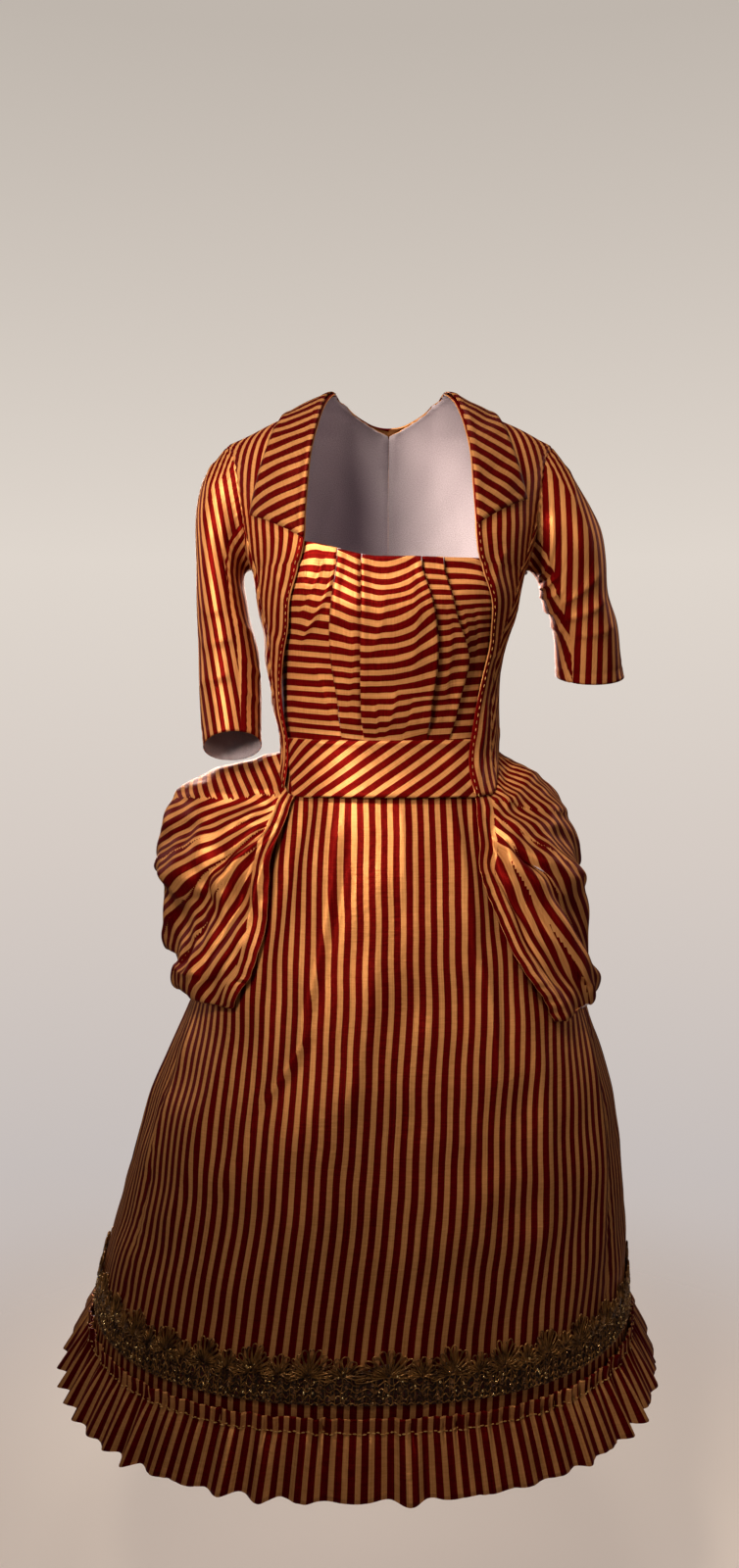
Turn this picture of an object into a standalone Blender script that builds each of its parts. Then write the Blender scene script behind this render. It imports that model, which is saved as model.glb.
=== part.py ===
"""A worn bustle dress, hollow and standing as on its wearer, in metres with +Z up.

The front faces -Y and the wearer's left is +X. The origin is on the body's axis, midway
between the two shoulder seams. Every piece of cloth is an open sheet lofted through rows of
points, which Solidify gives its thickness, and all of them lie on one form: rings stacked
from the hem to the underarm, and above it a yoke that rounds over to the shoulder seams.
"""
import math

import bpy
import bmesh
from mathutils import Vector

CLOTH = 0.0015            # thickness of the satin with what backs it
SEAM = 0.0006             # gap between two pieces that are sewn together
STEP = 0.0005             # gap between two layers that lie on each other

WAIST = -0.372            # top of the skirt, under the belt
WAIST_SEAM = -0.362       # lower edge of the jacket at the sides and back
UNDERARM = -0.160
NECK_SIDE = 0.050         # half width of the neck at the shoulder seam
NECK_TOP = 0.030          # height of the shoulder seam at the neck
SHOULDER_TIP = 0.178
SHOULDER_DROP = 0.061     # fall of the shoulder seam from neck to tip
SQUARENESS = 2.4          # exponent of the superellipse that each ring follows
YOKE_FLARE = 0.8          # how the chest widens with height towards the shoulder tips

# Height of the outer face of each layer over the form
SKIRT_LIFT = CLOTH
PLASTRON_LIFT = 0.0020
BELT_LIFT = 0.0065
JACKET_LIFT = 0.0090
COLLAR_LIFT = 0.0118

# The form: height, half width, depth to the front, depth to the back, sideways shift
FORM_COLUMNS = ("z", "half", "front", "back", "shift")
FORM_ROWS = (
    (-1.060, 0.3100, 0.3090, 0.395, -0.0340),
    (-1.005, 0.3050, 0.3000, 0.385, -0.0320),
    (-0.956, 0.2990, 0.2910, 0.374, -0.0295),
    (-0.913, 0.2925, 0.2820, 0.362, -0.0250),
    (-0.864, 0.2840, 0.2700, 0.347, -0.0185),
    (-0.813, 0.2750, 0.2570, 0.330, -0.0125),
    (-0.750, 0.2600, 0.2395, 0.307, -0.0085),
    (-0.678, 0.2350, 0.2170, 0.278, -0.0030),
    (-0.600, 0.2060, 0.1890, 0.243, 0.0000),
    (-0.540, 0.1820, 0.1660, 0.212, 0.0000),
    (-0.490, 0.1620, 0.1450, 0.180, 0.0000),
    (-0.440, 0.1410, 0.1220, 0.143, 0.0000),
    (-0.405, 0.1265, 0.1020, 0.112, 0.0000),
    (-0.372, 0.1170, 0.0890, 0.088, 0.0000),
    (-0.335, 0.1155, 0.0880, 0.084, 0.0000),
    (-0.285, 0.1165, 0.0945, 0.087, 0.0000),
    (-0.235, 0.1240, 0.1080, 0.093, 0.0000),
    (-0.200, 0.1360, 0.1170, 0.099, 0.0000),
    (-0.160, 0.1440, 0.1160, 0.103, 0.0000),
)

# Seams of the side panels, in degrees: in front on each side, and counted from the back
SIDE_SEAM_COLUMNS = ("level", "right", "left", "back")
SIDE_SEAM_ROWS = (
    (-0.250, 80.0, 64.0, 62.0),
    (-0.100, 77.0, 65.0, 66.0),
    (0.000, 73.5, 69.0, 70.0),
    (0.250, 73.0, 73.0, 75.0),
)

# Armhole: share of the way up from the underarm to the shoulder seam, angle from the front
ARMHOLE_COLUMNS = ("level", "front_angle", "back_angle")
ARMHOLE_ROWS = (
    (0.00, 90.0, 90.0),
    (0.10, 80.0, 81.0),
    (0.25, 73.0, 75.0),
    (0.45, 70.0, 73.0),
    (0.65, 70.0, 73.0),
    (0.85, 76.0, 78.0),
    (1.00, 87.0, 87.0),
)

# Front edges of the jacket: height, distance from the centre line on each side
FRONT_EDGE_COLUMNS = ("z", "right", "left")
FRONT_EDGE_ROWS = (
    (-0.415, 0.0930, 0.0900),
    (-0.380, 0.0985, 0.0820),
    (-0.345, 0.1035, 0.0790),
    (-0.300, 0.1075, 0.0850),
    (-0.260, 0.1090, 0.0955),
    (-0.220, 0.1080, 0.1060),
    (-0.190, 0.1030, 0.1035),
    (-0.160, 0.0930, 0.0915),
    (-0.134, 0.0870, 0.0860),
    (-0.110, 0.0860, 0.0850),
    (-0.081, 0.0840, 0.0830),
    (-0.046, 0.0810, 0.0810),
    (-0.018, 0.0750, 0.0760),
    (0.011, 0.0660, 0.0670),
    (0.0255, 0.0560, 0.0570),
)

BACK_NECK_ROWS = (        # height, distance from the centre line
    (-0.060, 0.0000),
    (-0.006, 0.0000),
    (0.002, 0.0160),
    (0.010, 0.0320),
    (0.018, 0.0450),
    (0.0255, 0.0560),
)

MATERIALS = {             # colour, roughness
    "striped_satin": ((0.52, 0.16, 0.055), 0.35),
    "metal_lace": ((0.16, 0.10, 0.045), 0.45),
}


def smooth(t):
    t = min(1.0, max(0.0, t))
    return t * t * (3.0 - 2.0 * t)


def along(rows, x, column):
    """Value of a table's column at x, on a smooth curve through the rows, which rise in column 0."""
    if x <= rows[0][0]:
        return rows[0][column]
    if x >= rows[-1][0]:
        return rows[-1][column]
    i = max(k for k in range(len(rows) - 1) if rows[k][0] <= x)
    x0, x1 = rows[i][0], rows[i + 1][0]
    y0, y1 = rows[i][column], rows[i + 1][column]
    span = x1 - x0
    before = rows[i - 1] if i else rows[i]
    after = rows[i + 2] if i + 2 < len(rows) else rows[i + 1]
    slope0 = (y1 - before[column]) / (x1 - before[0]) * span
    slope1 = (after[column] - y0) / (after[0] - x0) * span
    t = (x - x0) / span
    return (
        (2 * t**3 - 3 * t**2 + 1) * y0
        + (t**3 - 2 * t**2 + t) * slope0
        + (3 * t**2 - 2 * t**3) * y1
        + (t**3 - t**2) * slope1
    )


def column(columns, name):
    return columns.index(name)


def form(z, name):
    return along(FORM_ROWS, z, column(FORM_COLUMNS, name))


def power(value, exponent):
    return math.copysign(abs(value) ** exponent, value)


def shoulder_seam(x):
    """Height of the shoulder seam at a distance from the centre line."""
    fall = SHOULDER_DROP / (SHOULDER_TIP - NECK_SIDE)
    return NECK_TOP - fall * max(0.0, abs(x) - NECK_SIDE)


def on_form(angle, level):
    """A point of the form. The angle is in degrees from the front, to the wearer's left.

    A level below 0 is a height: underarm height plus the level. From 0 to 1 it climbs from
    the underarm to the shoulder seam, on a quarter ellipse."""
    a = math.radians(angle)
    across = power(math.sin(a), 2 / SQUARENESS)
    ahead = power(math.cos(a), 2 / SQUARENESS)
    depth_name = "front" if ahead > 0 else "back"
    if level <= 0:
        z = UNDERARM + level
        x = form(z, "half") * across + form(z, "shift")
        return Vector((x, -form(z, depth_name) * ahead, z))
    rise = math.sin(level * math.pi / 2)
    lean = math.cos(level * math.pi / 2)
    under = form(UNDERARM, "half")
    x = (under + (SHOULDER_TIP - under) * rise**YOKE_FLARE) * across
    z = UNDERARM + (shoulder_seam(x) - UNDERARM) * rise
    return Vector((x, -form(UNDERARM, depth_name) * lean * ahead, z))


def lifted(angle, level, lift):
    """The form's point moved out along the form's own normal."""
    small = 0.004
    low, high = level - small, level + small
    if level > 0:
        high = min(high, 1.0)
    elif level > -small:
        high = level
    around = on_form(angle + 0.5, level) - on_form(angle - 0.5, level)
    up = on_form(angle, high) - on_form(angle, low)
    normal = around.cross(up)
    return on_form(angle, level) + normal.normalized() * lift


def angle_at(x, level, back=False):
    """Angle at which the ring of a level reaches a distance from the centre line."""
    if level <= 0:
        half = form(UNDERARM + level, "half")
    else:
        rise = math.sin(level * math.pi / 2)
        under = form(UNDERARM, "half")
        half = under + (SHOULDER_TIP - under) * rise**YOKE_FLARE
    share = min(1.0, max(0.0, x / half))
    angle = math.degrees(math.asin(share ** (SQUARENESS / 2)))
    return 180.0 - angle if back else angle


def level_at(z, x):
    """Level at which the yoke, or a ring below it, passes a height at a distance x."""
    if z <= UNDERARM:
        return z - UNDERARM
    rise = (z - UNDERARM) / (shoulder_seam(x) - UNDERARM)
    return math.asin(min(1.0, rise)) / (math.pi / 2)


def edge_by_level(rows, name_column):
    """An edge given by heights, as (level, distance) rows."""
    return tuple((level_at(r[0], r[name_column]), r[name_column]) for r in rows)


def new_material(name):
    colour, roughness = MATERIALS[name]
    material = bpy.data.materials.new(name)
    material.use_nodes = True
    shader = material.node_tree.nodes["Principled BSDF"]
    shader.inputs["Base Color"].default_value = (*colour, 1.0)
    shader.inputs["Roughness"].default_value = roughness
    return material


def cloth(name, rows, material, closed=False, thickness=CLOTH):
    """A sheet lofted through rows of points, and given its thickness behind its outer face."""
    bm = bmesh.new()
    grid = [[bm.verts.new(p) for p in row] for row in rows]
    wide = len(rows[0])
    for lower, upper in zip(grid, grid[1:]):
        for j in range(wide if closed else wide - 1):
            k = (j + 1) % wide
            bm.faces.new((lower[j], lower[k], upper[k], upper[j]))
    mesh = bpy.data.meshes.new(name)
    bm.to_mesh(mesh)
    bm.free()
    piece = bpy.data.objects.new(name, mesh)
    bpy.data.collections["bustle_dress"].objects.link(piece)
    mesh.materials.append(material)
    mesh.shade_smooth()
    wall = piece.modifiers.new("wall", "SOLIDIFY")
    wall.thickness = thickness
    wall.offset = -1.0
    return piece


def spread(low, high, count):
    """count + 1 even values from low to high."""
    return [low + (high - low) * i / count for i in range(count + 1)]


# Skirt

DART_ANGLES = (-38.0, 34.0)        # the two tucks below the belt
DART_DEPTH = 0.0045
DART_WIDTH = 5.0                   # degrees
BACK_FOLDS = 11
BACK_FOLD_DEPTH = 0.006


def skirt_fold(angle, z):
    """Folds of the skirt: two tucks in front, and gathers that fall from under the bustle."""
    under_belt = smooth((WAIST - 0.02 - z) / 0.05) * (1 - smooth((-0.48 - z) / 0.16))
    tucks = sum(math.exp(-((angle - a) / DART_WIDTH) ** 2) for a in DART_ANGLES)
    turn = (angle + 360.0) % 360.0
    behind = smooth((turn - 105.0) / 30.0) * smooth((255.0 - turn) / 30.0)
    falling = smooth((-0.62 - z) / 0.08) * (1 - smooth((-0.80 - z) / 0.11))
    wave = math.cos(math.radians(turn - 180.0) * 360.0 / 150.0 * BACK_FOLDS / 2)
    return -DART_DEPTH * tucks * under_belt + BACK_FOLD_DEPTH * wave * behind * falling


def on_skirt(angle, z, lift):
    """A point over the skirt, moved out level, so that what lies on it keeps its height."""
    centre = on_form(angle, z - UNDERARM)
    around = on_form(angle + 0.5, z - UNDERARM) - on_form(angle - 0.5, z - UNDERARM)
    out = Vector((around.y, -around.x, 0)).normalized()
    return centre + out * (lift + skirt_fold(angle, z))


SKIRT_COLUMNS_ROUND = 56
SKIRT_LEVELS = (
    -1.004, -0.974, -0.940, -0.905, -0.850, -0.780, -0.700, -0.620, -0.540, -0.470, -0.412, WAIST,
)


def make_skirt(satin):
    angles = [360.0 * j / SKIRT_COLUMNS_ROUND for j in range(SKIRT_COLUMNS_ROUND)]
    rows = [[on_skirt(a, z, SKIRT_LIFT) for a in angles] for z in SKIRT_LEVELS]
    cloth("skirt", rows, satin, closed=True)


# Lace band and ruffle

LACE_BOTTOM = -0.974
LACE_SHALLOW = 0.036               # height of the band at the notches
LACE_FANS = 36                     # a large fan and a small one in each
LACE_FAN_PROFILE = (0.0, 0.85, 0.90, 0.0, 0.58)        # rise across one repeat
LACE_FAN_RISE = 0.016
LACE_LIFT = SKIRT_LIFT + 2 * STEP + CLOTH


def make_lace(lace):
    per_fan = len(LACE_FAN_PROFILE)
    count = LACE_FANS * per_fan
    bottom, top = [], []
    for j in range(count):
        angle = 360.0 * j / count
        rise = LACE_SHALLOW + LACE_FAN_RISE * LACE_FAN_PROFILE[j % per_fan]
        bottom.append(on_skirt(angle, LACE_BOTTOM, LACE_LIFT))
        top.append(on_skirt(angle, LACE_BOTTOM + rise, LACE_LIFT))
    cloth("lace_band", [bottom, top], lace, closed=True)


RUFFLE_WAVES = 56
RUFFLE_SAMPLES = 4                 # points along each wave
# Height, middle of the wave over the skirt, half of the wave's depth
RUFFLE_ROWS = (
    (-1.0470, 0.0290, 0.0080),
    (-0.9975, 0.0039, 0.0010),
    (-0.9845, 0.0066, 0.0025),
)


def ruffle_wave(turn):
    """Wave of the gathers at a share of the way round, uneven in width and in depth."""
    drift = 0.22 * math.sin(7 * turn * math.tau) + 0.16 * math.sin(17 * turn * math.tau + 1.0)
    depth = 0.80 + 0.20 * math.sin(11 * turn * math.tau + 2.0)
    return depth * math.cos(RUFFLE_WAVES * turn * math.tau + drift)


def make_ruffle(satin):
    count = RUFFLE_WAVES * RUFFLE_SAMPLES
    rows = []
    for z, reach, depth in RUFFLE_ROWS:
        turns = [j / count for j in range(count)]
        rows.append([on_skirt(360 * t, z, reach + depth * ruffle_wave(t)) for t in turns])
    cloth("ruffle", rows, satin, closed=True)


# Plastron and belt

BELT_TOP = -0.3465
BELT_BOTTOM = -0.4110
BELT_UNDER = 0.008                 # how far its ends run under the jacket
BELT_FLARE = 0.003                 # stand-off of its lower edge
BELT_PARTS = 14

PLASTRON_TOP = -0.136
PLASTRON_BOTTOM = WAIST + SEAM
PLASTRON_UNDER = 0.013             # how far its sides run under the jacket
PLASTRON_DIP = 0.018               # fall of the top edge from its right end to its left
PLEAT_RISE = 0.0026
PLASTRON_SIDE_RISE = 0.0025
PLEAT_FOLD = 0.0014                # width of the step at a pleat's edge
# Height, and the pleats' edges from the wearer's right to left
PLEAT_COLUMNS = ("z", "right_outer", "right_inner", "left_inner", "left_outer")
PLEAT_ROWS = (
    (-0.375, -0.0520, -0.0285, 0.0385, 0.0590),
    (-0.300, -0.0530, -0.0285, 0.0410, 0.0700),
    (-0.250, -0.0590, -0.0285, 0.0450, 0.0780),
    (-0.200, -0.0590, -0.0285, 0.0430, 0.0660),
    (-0.150, -0.0540, -0.0290, 0.0300, 0.0530),
)
PLASTRON_LEVELS = 10
BLOUSE_DEPTH = 0.009


def pleat_edges(z):
    return [along(PLEAT_ROWS, z, column(PLEAT_COLUMNS, n)) for n in PLEAT_COLUMNS[1:]]


def pleat_height(x, z):
    """Each pleat folds over the next one out, so the middle one stands highest."""
    right_outer, right_inner, left_inner, left_outer = pleat_edges(z)
    steps = (x - right_outer, x - right_inner, left_inner - x, left_outer - x)
    over = sum(smooth(0.5 + s / PLEAT_FOLD) for s in steps) - 2.0
    above_belt = smooth((z - BELT_TOP) / 0.03)
    sides = PLASTRON_SIDE_RISE * smooth((abs(x) - 0.060) / 0.035) * above_belt
    return PLEAT_RISE * over * (0.25 + 0.75 * above_belt) + sides


def blouse(x, z):
    """Fullness of the pleated cloth over the bust."""
    share = min(1.0, max(0.0, (z - BELT_TOP) / (PLASTRON_TOP - BELT_TOP)))
    return BLOUSE_DEPTH * math.sin(math.pi * share) ** 1.5 * math.cos(x / 0.075) ** 2


def front_edges(z):
    """Where the jacket's two front edges lie at a height: right, then left."""
    right = along(FRONT_EDGE_ROWS, z, column(FRONT_EDGE_COLUMNS, "right"))
    left = along(FRONT_EDGE_ROWS, z, column(FRONT_EDGE_COLUMNS, "left"))
    return -right, left


def on_front(x, z, lift):
    """A point over the front of the form, by its place across and its height."""
    level = level_at(z, x)
    return lifted(math.copysign(angle_at(abs(x), level), x), level, lift)


def make_plastron(satin):
    rows = []
    for share in spread(0.0, 1.0, PLASTRON_LEVELS):
        level = PLASTRON_BOTTOM + (PLASTRON_TOP - PLASTRON_BOTTOM) * share
        right, left = front_edges(level)
        right -= PLASTRON_UNDER
        left += PLASTRON_UNDER
        half_fold = PLEAT_FOLD / 2
        stops = [right, right / 2 + pleat_edges(level)[0] / 2]
        for edge in pleat_edges(level):
            stops += [edge - half_fold, edge + half_fold]
        stops += [pleat_edges(level)[-1] / 2 + left / 2, left]
        middle = (pleat_edges(level)[1] + pleat_edges(level)[2]) / 2
        stops = sorted(stops + [middle, middle - 0.017, middle + 0.017])
        row = []
        for x in stops:
            z = level - PLASTRON_DIP * share * smooth((x + 0.10) / 0.09)
            row.append(on_front(x, z, PLASTRON_LIFT + pleat_height(x, level) + blouse(x, level)))
        rows.append(row)
    cloth("plastron", rows, satin)



def make_belt(satin):
    rows = []
    for share in spread(0.0, 1.0, 3):
        z = BELT_BOTTOM + (BELT_TOP - BELT_BOTTOM) * share
        right, left = front_edges(z)
        lift = BELT_LIFT + BELT_FLARE * (1 - share)
        low, high = right - BELT_UNDER, left + BELT_UNDER
        row = []
        for x in spread(low, high, BELT_PARTS):
            end = smooth((min(x - low, high - x) - 0.012) / 0.020)
            row.append(on_front(x, z, BELT_LIFT + (lift - BELT_LIFT) * end))
        rows.append(row)
    cloth("belt", rows, satin)


# Jacket

JACKET_FRONT_DIP = -0.0480         # its lower edge falls this far at the front edges
JACKET_LEVELS_BELOW = 7
JACKET_LEVELS_ABOVE = 8
JACKET_COLUMNS = 7
SIDE_COLUMNS = 6
TOP_LEVEL = 0.995                  # last row, just short of the shoulder seam
SIDE_TOP = TOP_LEVEL / JACKET_LEVELS_ABOVE * 2    # where the side panel's seams meet the armhole
ARMHOLE_LOW = 0.02


def waist_seam(angle):
    """Height of the jacket's lower edge, where the drape is sewn on."""
    return WAIST_SEAM + JACKET_FRONT_DIP * smooth((86.0 - abs(angle)) / 36.0)


def outer_angle(level, back, name):
    """Outer edge of a front or back panel: the side panel's seam, then the armhole."""
    if level >= SIDE_TOP:
        return armhole_angle(level, back)
    return along(SIDE_SEAM_ROWS, level, column(SIDE_SEAM_COLUMNS, "back" if back else name))


def armhole_angle(level, back):
    name = "back_angle" if back else "front_angle"
    return along(ARMHOLE_ROWS, level, column(ARMHOLE_COLUMNS, name))


def jacket_row(angles, rough, side):
    """Points of one row of a panel. Below the underarm the row keeps its share of the height."""
    row = []
    for a in angles:
        level = rough
        if rough < 0:
            level = rough * (waist_seam(a) - UNDERARM) / (WAIST_SEAM - UNDERARM)
        row.append(lifted(a * side, level, JACKET_LIFT))
    return row


def panel_levels():
    below = spread(WAIST_SEAM - UNDERARM, 0.0, JACKET_LEVELS_BELOW)
    return below + spread(0.0, TOP_LEVEL, JACKET_LEVELS_ABOVE)[1:]


def make_jacket_panel(name, back, edge_rows, satin):
    """A front or back panel: from its opening or centre seam to the side panel and armhole."""
    side = 1 if name == "left" else -1
    half = form(UNDERARM, "half")
    rows = []
    for level in panel_levels():
        inner = angle_at(max(SEAM / 2, along(edge_rows, level, 1)), level, back)
        outer = outer_angle(level, back, name) - math.degrees(1.6 * SEAM / half)
        if back:
            outer = 180.0 - outer
        row = jacket_row(spread(inner, outer, JACKET_COLUMNS), level, side)
        if level > 0.9:
            row = [p + Vector((0, SEAM if back else -SEAM, 0)) for p in row]
        rows.append(row if (side > 0) != back else row[::-1])
    cloth(f"jacket_{'back' if back else 'front'}_{name}", rows, satin)


def make_side_panel(name, satin):
    """The panel under the arm, whose top edge is the lower part of the armhole."""
    side = 1 if name == "left" else -1
    armhole = [tuple(reversed((r[0], r[1]))) for r in reversed(ARMHOLE_ROWS[:3])]
    rows = []
    for level in panel_levels():
        if level > SIDE_TOP + 1e-6:
            break
        front = outer_angle(level - 1e-6, False, name)
        back = 180.0 - outer_angle(level - 1e-6, True, name)
        row = []
        for share in spread(0.0, 1.0, SIDE_COLUMNS):
            across = 90.0 - abs(2 * share - 1) * (90.0 - armhole[0][0])
            top = max(ARMHOLE_LOW, along(armhole, across, 1)) / SIDE_TOP
            rough = level if level <= 0 else level * min(1.0, top)
            row += jacket_row([front + (back - front) * share], rough, side)
        rows.append(row if side > 0 else row[::-1])
    cloth(f"jacket_side_{name}", rows, satin)


def make_jacket(satin):
    neck = edge_by_level(BACK_NECK_ROWS, 1)
    for name in ("right", "left"):
        edge = edge_by_level(FRONT_EDGE_ROWS, column(FRONT_EDGE_COLUMNS, name))
        make_jacket_panel(name, False, edge, satin)
        make_side_panel(name, satin)
        make_jacket_panel(name, True, neck, satin)


# Sleeves

SLEEVE_POINTS = 18
ARMHOLE_ROUND = 1.4                # flattens the bottom of the armhole into a curve
# Each ring: its outer and its inner point, middle to the back, half depth, tilt of its front
# upwards in degrees, and how far it has left the armhole's shape
SLEEVE_COLUMNS = ("outer_x", "outer_z", "inner_x", "inner_z", "y", "depth", "tilt", "round")
SLEEVE_ROWS = {
    "right": (
        (0.1960, -0.0370, 0.1630, -0.1580, 0.000, 0.043, 0.0, 0.50),
        (0.2090, -0.0580, 0.1650, -0.1660, -0.001, 0.046, 0.0, 0.90),
        (0.2160, -0.0900, 0.1640, -0.1800, -0.003, 0.047, 0.0, 1.0),
        (0.2170, -0.1300, 0.1600, -0.2000, -0.006, 0.047, 0.0, 1.0),
        (0.2165, -0.1800, 0.1540, -0.2250, -0.010, 0.046, 3.0, 1.0),
        (0.2150, -0.2300, 0.1470, -0.2560, -0.015, 0.044, 7.0, 1.0),
        (0.2135, -0.2780, 0.1440, -0.2900, -0.021, 0.042, 13.0, 1.0),
        (0.2105, -0.3220, 0.1430, -0.3230, -0.028, 0.041, 20.0, 1.0),
        (0.2075, -0.3590, 0.1425, -0.3530, -0.038, 0.040, 27.0, 1.0),
    ),
    "left": (
        (0.1960, -0.0390, 0.1630, -0.1580, 0.001, 0.043, 0.0, 0.50),
        (0.2110, -0.0640, 0.1660, -0.1650, 0.003, 0.046, 0.0, 0.90),
        (0.2260, -0.0890, 0.1690, -0.1740, 0.006, 0.048, -2.0, 1.0),
        (0.2400, -0.1130, 0.1730, -0.1850, 0.011, 0.048, -4.0, 1.0),
        (0.2470, -0.1450, 0.1770, -0.1990, 0.018, 0.046, -7.0, 1.0),
        (0.2520, -0.1830, 0.1850, -0.2130, 0.027, 0.044, -9.0, 1.0),
        (0.2640, -0.2150, 0.1920, -0.2310, 0.036, 0.042, -12.0, 1.0),
        (0.2700, -0.2460, 0.1945, -0.2530, 0.045, 0.041, -14.0, 1.0),
        (0.2770, -0.2780, 0.1970, -0.2790, 0.054, 0.040, -15.0, 1.0),
    ),
}


def armhole_point(turn, side):
    """A point of the armhole. The turn goes from the shoulder tip by the front, from 0 to 1."""
    back = turn > 0.5
    level = max(ARMHOLE_LOW, min(abs(1.0 - 2.0 * turn) ** ARMHOLE_ROUND, 0.985))
    angle = armhole_angle(level, back)
    angle = 180.0 - angle if back else angle
    return lifted(angle * side, level, JACKET_LIFT) + Vector((side * 2 * SEAM, 0, 0))


def sleeve_point(row, turn, side):
    outer_x, outer_z, inner_x, inner_z, y, depth, tilt, roundness = row
    tilt, a = math.radians(tilt), turn * math.tau
    outer = Vector((side * outer_x, y, outer_z))
    inner = Vector((side * inner_x, y, inner_z))
    ahead = Vector((0, -math.cos(tilt), math.sin(tilt)))
    ring = outer.lerp(inner, 0.5 - 0.5 * math.cos(a)) + ahead * depth * math.sin(a)
    return armhole_point(turn, side).lerp(ring, roundness)


def make_sleeve(name, side, satin):
    turns = [j / SLEEVE_POINTS for j in range(SLEEVE_POINTS)]
    if side < 0:
        turns = turns[::-1]
    rows = [[armhole_point(t, side) for t in turns]]
    rows += [[sleeve_point(r, t, side) for t in turns] for r in SLEEVE_ROWS[name]]
    cloth(f"sleeve_{name}", rows[::-1], satin, closed=True)


# Collar

COLLAR_THICK = 0.0020
COLLAR_WIDTH_STEPS = 3
# Across the inner edge, its height, across the outer edge, its height; front end to shoulder
COLLAR_COLUMNS = ("inner_x", "inner_z", "outer_x", "outer_z")
COLLAR_ROWS = {
    "right": (
        (0.0870, -0.1340, 0.1420, -0.1050),
        (0.0862, -0.1180, 0.1405, -0.0960),
        (0.0850, -0.0900, 0.1340, -0.0650),
        (0.0820, -0.0550, 0.1270, -0.0400),
        (0.0770, -0.0250, 0.1210, -0.0200),
        (0.0700, 0.0020, 0.1160, -0.0100),
    ),
    "left": (
        (0.0860, -0.1200, 0.1380, -0.0900),
        (0.0855, -0.1050, 0.1365, -0.0820),
        (0.0840, -0.0800, 0.1310, -0.0580),
        (0.0815, -0.0500, 0.1250, -0.0370),
        (0.0775, -0.0220, 0.1200, -0.0190),
        (0.0710, 0.0040, 0.1160, -0.0100),
    ),
}
# Behind the shoulder seam: across and arc for the inner and the outer edge
COLLAR_SEAM = (0.0580, 0.0, 0.1110, 0.0)
COLLAR_BACK = ((0.0480, 0.22, 0.0960, 0.34), (0.0240, 0.33, 0.0520, 0.50), (0.0, 0.36, 0.0, 0.56))
COLLAR_PARTS = 30


def on_yoke(x, arc, lift):
    """A point over the yoke. The arc is 0 on the shoulder seam, and grows to the back."""
    level = 1.0 - abs(arc)
    angle = angle_at(abs(x), level, arc > 0)
    return lifted(math.copysign(angle, x), level, lift)


def collar_line(name, side):
    """One half of the collar, from its front end to the middle of the back."""
    line = []
    for inner_x, inner_z, outer_x, outer_z in COLLAR_ROWS[name]:
        inner_arc = level_at(inner_z, inner_x) - 1.0
        outer_arc = level_at(outer_z, outer_x) - 1.0
        line.append((side * inner_x, inner_arc, side * outer_x, outer_arc))
    for inner_x, inner_arc, outer_x, outer_arc in (COLLAR_SEAM, *COLLAR_BACK):
        line.append((side * inner_x, inner_arc, side * outer_x, outer_arc))
    return line


def make_collar(satin):
    right, left = (collar_line(n, s) for n, s in (("right", -1), ("left", 1)))
    line = [(i, *p) for i, p in enumerate(right + left[-2::-1])]
    rows = []
    for share in spread(1.0, 0.0, COLLAR_WIDTH_STEPS):
        row = []
        for i in spread(0.0, len(line) - 1.0, COLLAR_PARTS):
            inner_x, inner_arc, outer_x, outer_arc = (along(line, i, k) for k in range(1, 5))
            x = inner_x + (outer_x - inner_x) * share
            arc = inner_arc + (outer_arc - inner_arc) * share
            row.append(on_yoke(x, arc, COLLAR_LIFT))
        rows.append(row)
    cloth("collar", rows, satin, thickness=COLLAR_THICK)


# Drape: the two panniers and the bustle puff, one run of cloth round the hips

DRAPE_LEVELS = 14
DRAPE_SEAM_ANGLE = 128.0
# Angle from the front, reach over the skirt at four heights, height of the bottom
DRAPE_COLUMNS = ("angle", "top", "middle", "pinch", "low", "bottom")
DRAPE_ROWS = (
    (-232.0, 0.072, 0.082, 0.072, 0.058, -0.645),
    (-180.0, 0.080, 0.105, 0.090, 0.085, -0.668),
    (-135.0, 0.080, 0.088, 0.078, 0.062, -0.640),
    (-112.0, 0.095, 0.098, 0.078, 0.056, -0.625),
    (-92.0, 0.106, 0.112, 0.078, 0.050, -0.615),
    (-76.0, 0.070, 0.082, 0.060, 0.048, -0.618),
    (-64.0, 0.034, 0.050, 0.040, 0.036, -0.622),
    (-54.0, 0.018, 0.026, 0.022, 0.022, -0.622),
    (-46.0, 0.013, 0.016, 0.014, 0.014, -0.620),
    (-40.0, 0.012, 0.014, 0.012, 0.012, -0.620),
    (32.0, 0.012, 0.014, 0.012, 0.012, -0.630),
    (40.0, 0.013, 0.018, 0.014, 0.014, -0.632),
    (48.0, 0.016, 0.024, 0.018, 0.016, -0.634),
    (60.0, 0.026, 0.036, 0.028, 0.022, -0.634),
    (76.0, 0.044, 0.052, 0.040, 0.028, -0.634),
    (92.0, 0.056, 0.060, 0.041, 0.024, -0.634),
    (112.0, 0.066, 0.070, 0.055, 0.040, -0.636),
    (135.0, 0.074, 0.086, 0.074, 0.060, -0.645),
    (180.0, 0.080, 0.105, 0.090, 0.085, -0.668),
)
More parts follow.
